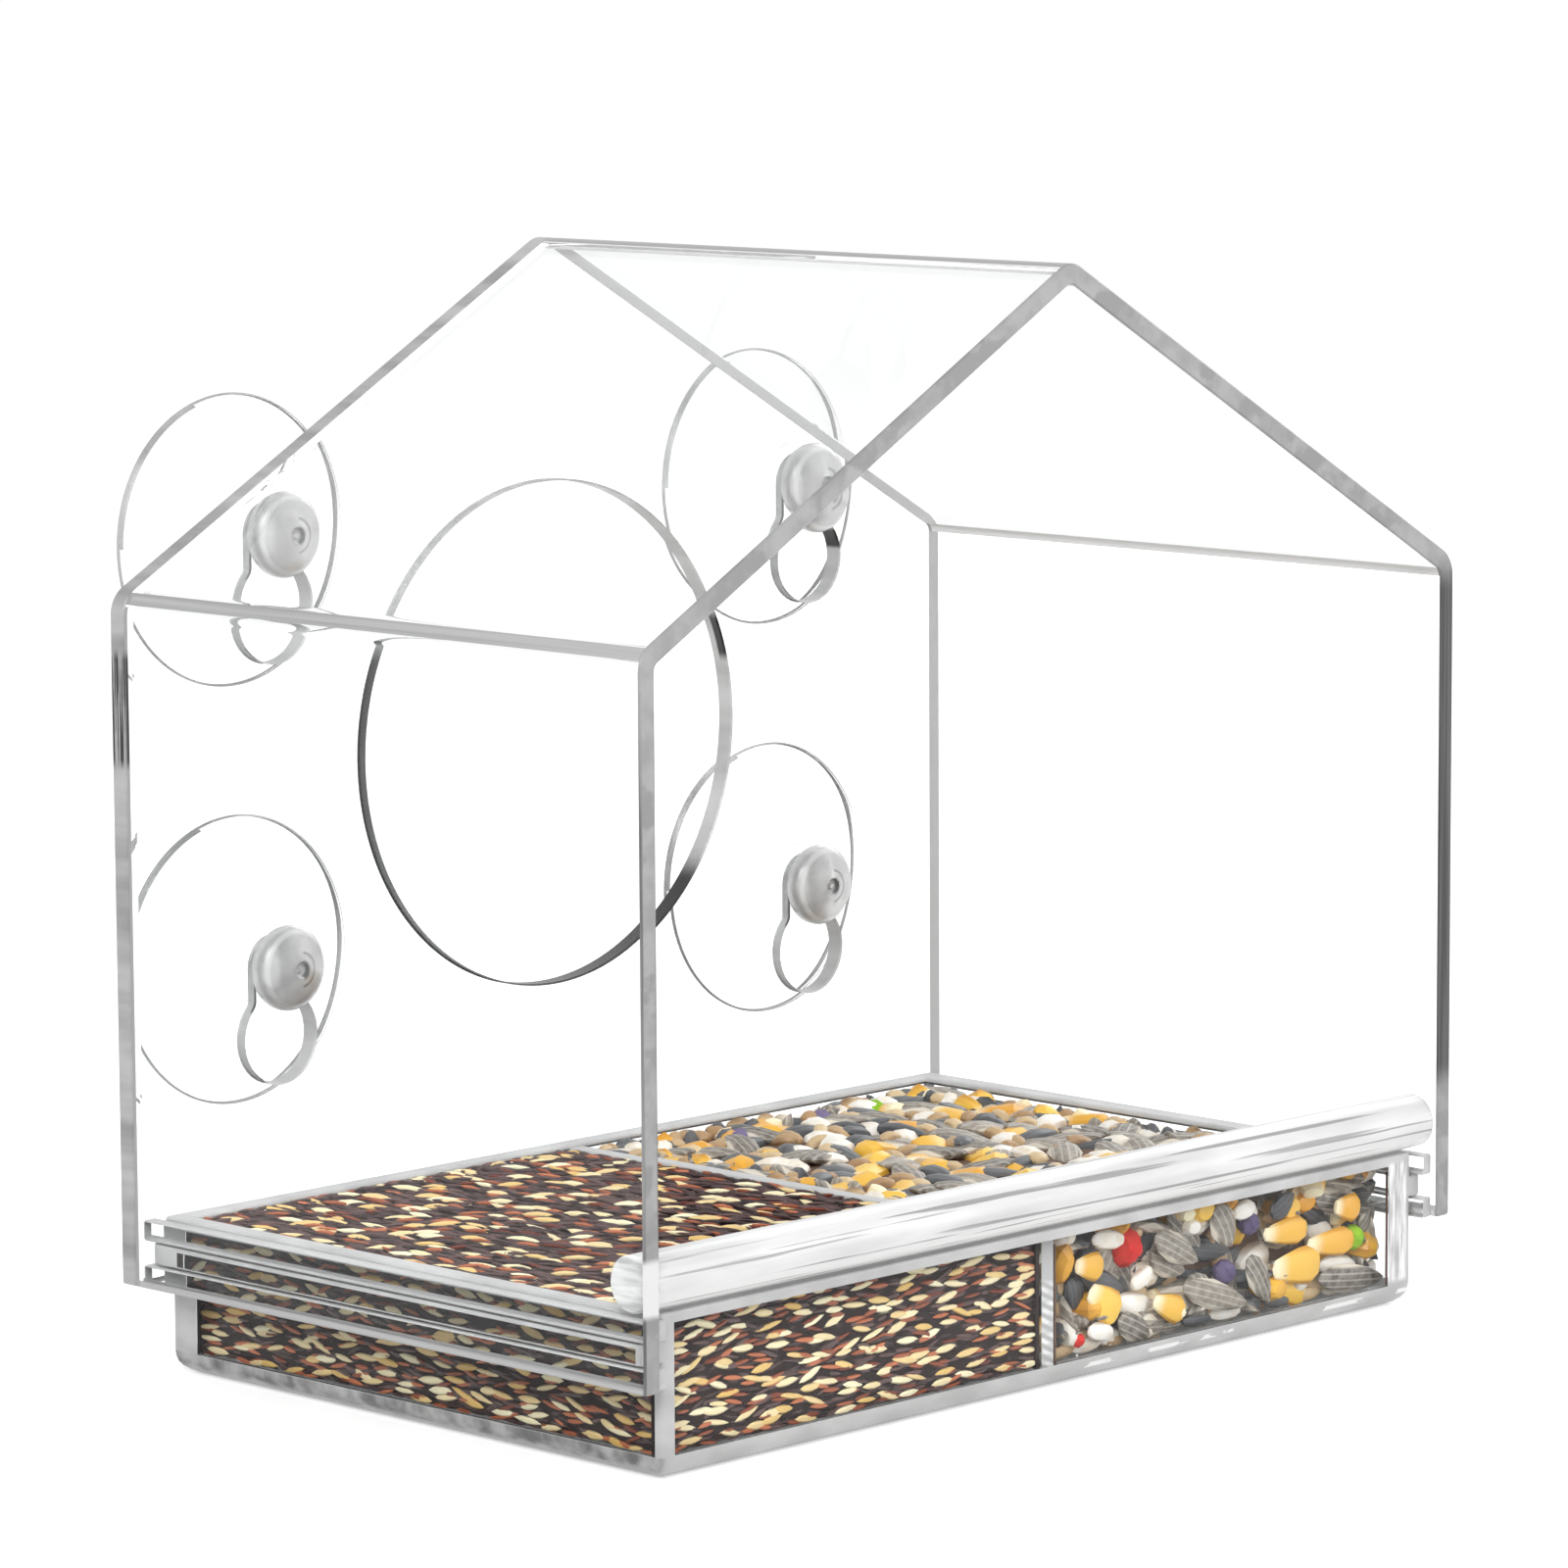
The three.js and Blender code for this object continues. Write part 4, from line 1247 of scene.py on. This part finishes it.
def small_seeds(kind, dice):
    """Centres, turns and half sizes of a kind of small seed; those on top lean towards the front."""
    cell, top_rows, depth, lengths, widths = kind
    places, inward = wall_rows(small_low, small_high, cell, top_rows, dice)
    facing = np.where(inward[:, 2:] < -0.5, unit(TOP_FACING), inward)
    turns = lying_turns(facing, SMALL_LEAN, SMALL_SPREAD, SMALL_TIP, dice)
    sizes = half_sizes([lengths, widths, SMALL_THICKNESS], dice, len(places))
    off = (depth[0] + dice.random(len(places)) * (depth[1] - depth[0])) * MM
    return kept_inside(places, inward, turns, sizes, off, small_low, small_high), turns, sizes


small_dice = np.random.default_rng(SMALL_RANDOM)
small_low, small_high = compartment(-inside_x, -DIVIDER_HALF)
small_form = seed_form([-0.6, 0, 0.6], [0.62, 1, 0.62], SMALL_SIDES)
SMALL_COLOURS = {
    "dark": (DARK_SEEDS, "#2A1C1E", "#66504E"),
    "rust": (RUST_SEEDS, "#6A2A1C", "#CC7A54"),
    "cream": (CREAM_SEEDS, "#E8C070", "#FFF8D4"),
}
for colour, (kind, dark, light) in SMALL_COLOURS.items():
    coat = seed_coat(f"small_seed_{colour}", dark, light, SMALL_RIM_SHADE, SMALL_ROUGHNESS)
    add_seeds(f"small_seed_{colour}", small_form, *small_seeds(kind, small_dice), coat, small_dice)
# Painted shade: a dark block for the gaps deep in the heap of small seed.
add_shade_block("small_seed_shade_block", small_low, small_high, SMALL_CORE, SMALL_POST, "#2A1F1F")

# Mixed seed: the right compartment holds a coarse mix of striped and black sunflower seeds, corn, pale
# peas, grain and a few rough coloured pellets. Those along the front wall lie as in a filled feeder.
MIXED_RANDOM = 23
MIXED_SIDES = 10
MIXED_SPREAD = 1.1
MIXED_TIP = 0.18
MIXED_PITCH = 5.4 * MM
GRAIN_PITCH = 8 * MM
GRAIN_DEPTH = (0.2, 1.6)
MIXED_DEPTH = (0.1, 2.0)
BEHIND_DEPTH = (2.4, 4.6)
MIXED_CORE = (3.4 * MM, 5.2 * MM, 2.6 * MM)
MIXED_POST = 0.3 * MM
# A block of painted shade above the core, by its distances from the compartment's lower and upper corner
MIXED_LID = (np.array([0.8, 4.5, 16.4]) * MM, np.array([0.8, 0.8, 2.2]) * MM)
# X and first layer of the upright rows at both ends of the front wall
END_ROWS = ((2.6, 2), (74.7, 1))
FRONT_DEPTH = 4.2 * MM
# Start, end and pitch along X of the row at the front wall's foot
FOOT_ROW = (4, 74, 3.1)
FRONT_PITCH = 1.7 * MM
FRONT_THICKNESS = 1.65 * MM
PELLET_ROWS = 13
PELLET_SIDES = 16
PELLET_LUMPS = 0.05
PELLET_SINK = 0.45
PELLET_ROOM = 1.15
PELLET_ROUGHNESS = 0.8
# Least and largest length, width and thickness in mm
MIXED_SIZES = {
    "striped": ((10.0, 14.0), (5.0, 6.4), (2.2, 2.9)),
    "black": ((7.5, 10.5), (3.8, 5.0), (2.4, 3.2)),
    "corn": ((7.5, 9.5), (5.8, 7.0), (3.8, 4.6)),
    "pea": ((5.5, 8.0), (4.8, 6.0), (3.6, 4.6)),
    "grain": ((3.6, 5.0), (3.0, 3.8), (2.4, 3.0)),
}
MIXED_SHARES = {"striped": 0.34, "black": 0.25, "corn": 0.14, "pea": 0.2, "grain": 0.07}
# The seeds behind the front wall, read from the photograph: for each the x and y of its middle,
# its length and width, and its turn in degrees, in an enlargement by SEED_VIEW_SCALE that starts at
# SEED_VIEW_CORNER. The green pellet is set further left than it shows. The limits are in mm.
PHOTO_WIDTH = 1600
SENSOR_WIDTH = 36
SEED_VIEW_CORNER = np.array([1060, 1180])
SEED_VIEW_SCALE = 3.92
PIXELS_PER_MM = 7.05
SEED_PLANE = -50.2 * MM
SEED_FAR = 74
SEED_LOW = 4
LONGEST = {"striped": 15.5, "corn": 11}
NARROWEST = {"striped": 4.6, "black": 4, "corn": 4.4, "pea": 3, "grain": 2.6, "red_pellet": 3.4}
FRONT_ORDER = {
    "red_pellet": 0, "green_pellet": 0, "violet_pellet": 1, "corn": 2, "pea": 3, "striped": 3, "grain": 4,
    "black": 5,
}
FRONT_LAYERS = 5
OVERLAP = 0.86
GRID_STEP = 0.2
GRID_SIZE = (78, 24)
PELLET_PRESS = 0.25
BEHIND_FRONT = {
    "striped": (
        (500, 360, 200, 90, 30), (565, 285, 200, 90, 50), (690, 270, 170, 110, 68), (1310, 165, 240, 80, 8),
        (1400, 290, 130, 100, 40), (655, 545, 350, 120, 14), (1310, 505, 280, 95, -3),
        (830, 480, 200, 60, 65), (615, 680, 200, 140, 75), (840, 665, 280, 90, -5), (330, 780, 140, 60, 25),
        (440, 775, 150, 65, -5), (500, 425, 150, 60, 25),
    ),
    "black": (
        (390, 275, 120, 60, 0), (925, 185, 130, 75, -45), (1120, 230, 150, 75, 35), (1370, 405, 150, 80, 0),
        (690, 375, 190, 75, 5), (245, 420, 150, 80, 30), (430, 490, 140, 95, 80), (240, 505, 180, 60, 15),
        (125, 545, 140, 80, 80), (170, 775, 150, 80, -15),
    ),
    "corn": (
        (935, 290, 180, 85, -10), (1180, 195, 100, 80, 0), (1300, 235, 150, 90, -5),
        (1115, 335, 210, 110, -8), (978, 430, 205, 150, -10), (960, 600, 210, 100, 15),
        (210, 575, 150, 140, 40), (150, 430, 110, 80, 0), (470, 590, 130, 90, 20),
    ),
    "pea": (
        (225, 325, 130, 85, 0), (770, 205, 90, 60, -20), (1175, 435, 150, 100, 0), (355, 585, 150, 100, 0),
        (195, 690, 100, 55, 0), (290, 640, 110, 50, -5), (120, 660, 80, 45, 0), (265, 805, 100, 40, 5),
        (360, 475, 110, 60, -40),
    ),
    "grain": (
        (950, 232, 150, 40, -12), (1090, 500, 100, 75, 0), (1080, 570, 100, 75, 0), (500, 690, 65, 60, 60),
    ),
    "red_pellet": (
        (337, 363, 165, 150, 0), (112, 725, 60, 55, 0),
    ),
    "violet_pellet": (
        (810, 262, 95, 92, 0), (715, 457, 110, 85, 0),
    ),
    "green_pellet": (
        (1230, 319, 120, 80, 30),
    ),
}
# Pellets on top, by x, y and size in mm
TOP_PELLETS = (
    ("violet_pellet", 26.1, 34.2, 6.0),
    ("violet_pellet", 46.0, 36.0, 5.0),
    ("green_pellet", 58.0, 36.5, 8.0),
)


def sunflower_stripes(tree, coat):
    """Pale stripes along the seed and a pale rim."""
    x, y, z = spot_on_seed(tree)
    start = maths(tree, "MULTIPLY", attribute(tree, "tone"), 5)
    wave = maths(tree, "SINE", maths(tree, "MULTIPLY_ADD", y, 15, start))
    striped = between(tree, maths(tree, "MULTIPLY", rise(tree, wave, 0.4, 1), 0.36), coat, "#DED8CA")
    fibres = grey_streaks(tree, (900, 900, 900), 0, 0.2)
    mottled = between(tree, fibres, striped, "#F1EEE6")
    return between(tree, rise(tree, maths(tree, "ABSOLUTE", y), 0.74, 0.82), mottled, "#F4EEE0")


def faint_ribs(tree, coat):
    """Thin paler ribs along the seed."""
    wave = maths(tree, "SINE", maths(tree, "MULTIPLY", spot_on_seed(tree)[1], 16))
    return between(tree, maths(tree, "MULTIPLY", rise(tree, wave, 0.6, 1), 0.16), coat, "#9C9C9A")


def pale_tip(tree, coat):
    """White floury patch at the narrow end of a corn kernel."""
    return between(tree, rise(tree, spot_on_seed(tree)[0], -0.25, -0.95), coat, "#FBF0CC")


def clouded(tree, coat):
    """Soft brighter clouds."""
    return between(tree, grey_streaks(tree, (500, 500, 500), 0, 0.6), coat, "#FFFFFF")


# Seed forms: places along the seed and half widths there
blunt = ([-0.93, -0.62, -0.12, 0.45, 0.82], [0.36, 0.8, 1.0, 0.72, 0.34])
wedge = ([-0.9, -0.5, 0.05, 0.55, 0.88], [0.45, 0.66, 0.9, 1.0, 0.6])
oval = ([-0.88, -0.5, 0, 0.5, 0.88], [0.47, 0.87, 1.0, 0.87, 0.47])
# Form, dark, light and rim colour, roughness and pattern; a darker rim is painted shade where seeds meet
MIXED_KINDS = {
    "striped": (blunt, "#544C44", "#8C8276", "#D2C9BA", 0.5, sunflower_stripes),
    "black": (blunt, "#3A3B3F", "#66686B", "#26262A", 0.42, faint_ribs),
    "corn": (wedge, "#E6A224", "#F9CC54", "#C98A24", 0.36, pale_tip),
    "pea": (oval, "#E6D9C2", "#F8F3E8", "#B09A80", 0.4, clouded),
    "grain": (oval, "#A8845C", "#DCC49A", "#7A5A3A", 0.45, None),
}
PELLET_COLOURS = {
    "red_pellet": ("#D8201A", "#F0463A"),
    "violet_pellet": ("#4E4468", "#7A6E92"),
    "green_pellet": ("#7FB414", "#B4E02A"),
}


def mixed_layer(pitch, depth, kinds, dice):
    """Random seeds over the right compartment's walls: for each kind its centres, turns and half sizes."""
    places, inward = wall_spots(mixed_low, mixed_high, pitch, dice)
    turns = lying_turns(inward, np.zeros(3), MIXED_SPREAD, MIXED_TIP, dice)
    chance = np.array([MIXED_SHARES[kind] for kind in kinds])
    drawn = dice.choice(len(kinds), len(places), p=chance / chance.sum())
    in_front = inward[:, 1] > 0.5
    layer = {}
    for k, kind in enumerate(kinds):
        own = drawn == k
        sizes = half_sizes(MIXED_SIZES[kind], dice, own.sum())
        spread = (depth[1] - depth[0]) * np.where(inward[own, 2] < -0.5, 0.35, 1)
        off = (depth[0] + dice.random(own.sum()) * spread + 2.4 * in_front[own]) * MM
        centres = kept_inside(places[own], inward[own], turns[own], sizes, off, mixed_low, mixed_high)
        centres[:, 1] = np.maximum(centres[:, 1], mixed_low[1] + FRONT_DEPTH)
        layer[kind] = (centres, turns[own], sizes)
    return layer


def foot_row(dice):
    """Small seeds along the foot and both ends of the front wall, as rows like those of in_layers."""
    spots = np.arange(*FOOT_ROW)
    kinds = dice.choice(["pea", "black", "grain", "striped"], len(spots), p=[0.3, 0.25, 0.15, 0.3])
    drawn = dice.random((len(spots), 3))
    foot = [
        (kind, x + 1.2 * a, 3.5, 5 + 2.5 * b, 2.1 + 0.8 * c, 14 * (a - 0.5), 1 + k % 2)
        for k, (kind, x, (a, b, c)) in enumerate(zip(kinds, spots, drawn))
    ]
    heights = np.arange(4, 23, 2.3)
    kinds = dice.choice(["pea", "black", "corn", "striped"], (2, len(heights)))
    ends = [
        (kinds[side, k], x, z, 4 + 1.5 * dice.random(), 3, 60 * dice.random(), layer + k % 2)
        for side, (x, layer) in enumerate(END_ROWS) for k, z in enumerate(heights)
    ]
    return foot + ends


def on_seed_plane(pixel):
    """X and Z in mm where the camera's ray through a pixel of the photograph meets the plane of the seeds."""
    across, down = pixel - PHOTO_WIDTH / 2
    focal = CAMERA_LENS / SENSOR_WIDTH * PHOTO_WIDTH
    ray = np.array(forward) * focal + np.array(right) * across - np.array(up) * down
    eye = np.array(aim - forward * CAMERA_DISTANCE)
    return ((eye + ray * (SEED_PLANE - eye[1]) / ray[1]) / MM)[[0, 2]]


def read_seed(kind, x, y, length, width, turn):
    """One seed of BEHIND_FRONT as kind, x, z, length, width in mm, to a tenth, and lean in whole degrees.

    The ends of its two axes are carried on to the plane of the seeds. Its size keeps to its kind's limits.
    """
    middle = SEED_VIEW_CORNER + np.array([x, y]) / SEED_VIEW_SCALE
    long = np.array([math.cos(math.radians(turn)), math.sin(math.radians(turn))]) / SEED_VIEW_SCALE / 2
    wide = np.array([-long[1], long[0]])
    start, end = (on_seed_plane(middle + side * length * long) for side in (-1, 1))
    left, right_side = (on_seed_plane(middle + side * width * wide) for side in (-1, 1))
    sizes = np.linalg.norm([end - start, right_side - left], axis=1)
    if "pellet" in kind:
        sizes[:] = (length + width) / 2 / SEED_VIEW_SCALE / PIXELS_PER_MM
    lean = round(math.degrees(math.atan2(*(end - start)[::-1])))
    spot = np.round((start + end) / 2, 1)
    long_side, wide_side = np.round(sizes, 1)
    return (
        kind, min(spot[0], SEED_FAR), max(spot[1], SEED_LOW), min(long_side, LONGEST.get(kind, long_side)),
        max(wide_side, NARROWEST.get(kind, 0)), lean,
    )


def in_layers(rows):
    """The rows with the layer of each: the first behind the wall where no seed placed before is in its way.

    Seeds are placed by FRONT_ORDER and from large to small. Two are in each other's way where ellipses of
    OVERLAP of their sizes meet on a grid. A pellet takes up as many layers as it is thick.
    """
    low, high = mixed_low[[0, 2]] / MM, mixed_high[[0, 2]] / MM
    grid = np.stack(np.meshgrid(*(np.arange(0, size, GRID_STEP) for size in GRID_SIZE)), axis=-1)
    taken = np.zeros((2 * FRONT_LAYERS, *grid.shape[:2]), bool)
    layers = {}
    for row in sorted(rows, key=lambda row: (FRONT_ORDER[row[0]], -row[3] * row[4])):
        kind, x, z, length, width, lean = row
        turn = math.radians(lean)
        axes = np.array([[math.cos(turn), math.sin(turn)], [-math.sin(turn), math.cos(turn)]])
        half = np.array([length, width]) / 2
        reach = np.hypot(*(axes * half[:, None]))
        off = (grid - np.clip([x, z], low + reach, high - reach)) @ axes.T
        own = ((off / (half * OVERLAP)) ** 2).sum(axis=-1) < 1
        deep = math.ceil(length * MM / FRONT_PITCH - PELLET_PRESS) if "pellet" in kind else 1
        free = [k for k in range(FRONT_LAYERS) if not (taken[k : k + deep] & own).any()]
        taken[free[0] : free[0] + deep] |= own
        layers[row] = free[0]
    return [(*row, layers[row]) for row in rows]


def shown_in_front(kind):
    """Centres, turns and half sizes of a kind's seeds that lie flat behind the front wall, in layers."""
    rows = np.array([row[1:] for row in shown_rows if row[0] == kind])
    lean = np.radians(rows[:, 4])
    zero = np.zeros(len(rows))
    long = np.stack([np.cos(lean), zero, np.sin(lean)], axis=1)
    thick = np.tile([0.0, 1.0, 0.0], (len(rows), 1))
    turns = np.stack([long, np.cross(thick, long), thick], axis=-1)
    sizes = np.stack([rows[:, 2] * MM, rows[:, 3] * MM, zero + FRONT_THICKNESS], axis=1) / 2
    places = np.stack([rows[:, 0] * MM, zero + mixed_low[1], rows[:, 1] * MM], axis=1)
    centres = kept_inside(places, thick, turns, sizes, FRONT_PITCH * rows[:, 5], mixed_low, mixed_high)
    return centres, turns, sizes


mixed_dice = np.random.default_rng(MIXED_RANDOM)
mixed_low, mixed_high = compartment(DIVIDER_HALF, inside_x)
front_seeds = [read_seed(kind, *row) for kind, read in BEHIND_FRONT.items() for row in read]
shown_rows = in_layers(front_seeds) + foot_row(mixed_dice)
layers = [
    mixed_layer(MIXED_PITCH, MIXED_DEPTH, list(MIXED_SHARES), mixed_dice),
    mixed_layer(MIXED_PITCH, BEHIND_DEPTH, list(MIXED_SHARES), mixed_dice),
    mixed_layer(GRAIN_PITCH, GRAIN_DEPTH, ["grain"], mixed_dice),
]
for kind, (outline, dark, light, rim_and_shade, roughness, pattern) in MIXED_KINDS.items():
    parts = [layer[kind] for layer in layers if kind in layer] + [shown_in_front(kind)]
    centres, turns, sizes = (np.concatenate(part) for part in zip(*parts))
    coat = seed_coat(f"mixed_{kind}", dark, light, rim_and_shade, roughness, pattern)
    add_seeds(f"mixed_{kind}", seed_form(*outline, MIXED_SIDES), centres, turns, sizes, coat, mixed_dice)

pellet_stations = np.cos(np.linspace(math.pi, 0, PELLET_ROWS)[1:-1])
pellet_form = seed_form(pellet_stations, np.sqrt(1 - pellet_stations**2), PELLET_SIDES)
rough = 1 + PELLET_LUMPS * mixed_dice.standard_normal(len(pellet_form[0]))
pellet_form = (pellet_form[0] * rough[:, None], pellet_form[1])
for kind, (dark, light) in PELLET_COLOURS.items():
    centres, _, sizes = shown_in_front(kind)
    on_top = np.array([row[1:] for row in TOP_PELLETS if row[0] == kind]).reshape(-1, 3) * MM
    across = on_top[:, 2:]
    on_top_centres = np.hstack([on_top[:, :2], mixed_high[2] - across * PELLET_SINK])
    centres = np.concatenate([centres, on_top_centres])
    sizes = np.repeat(np.concatenate([sizes[:, :1], across / 2]), 3, axis=1)
    turns = np.tile(np.eye(3), (len(centres), 1, 1))
    centres = np.clip(centres, mixed_low + sizes * PELLET_ROOM, mixed_high - sizes * PELLET_ROOM)
    # Painted shade: each pellet turns to its dark colour towards its rim.
    coat = seed_coat(kind, dark, light, dark, PELLET_ROUGHNESS)
    add_seeds(kind, pellet_form, centres, turns, sizes, coat, mixed_dice)
# Painted shade: a brown block and lid for the gaps deep in the heap of mixed seed.
add_shade_block("mixed_seed_shade_block", mixed_low, mixed_high, MIXED_CORE, MIXED_POST, "#6E5546", [MIXED_LID])
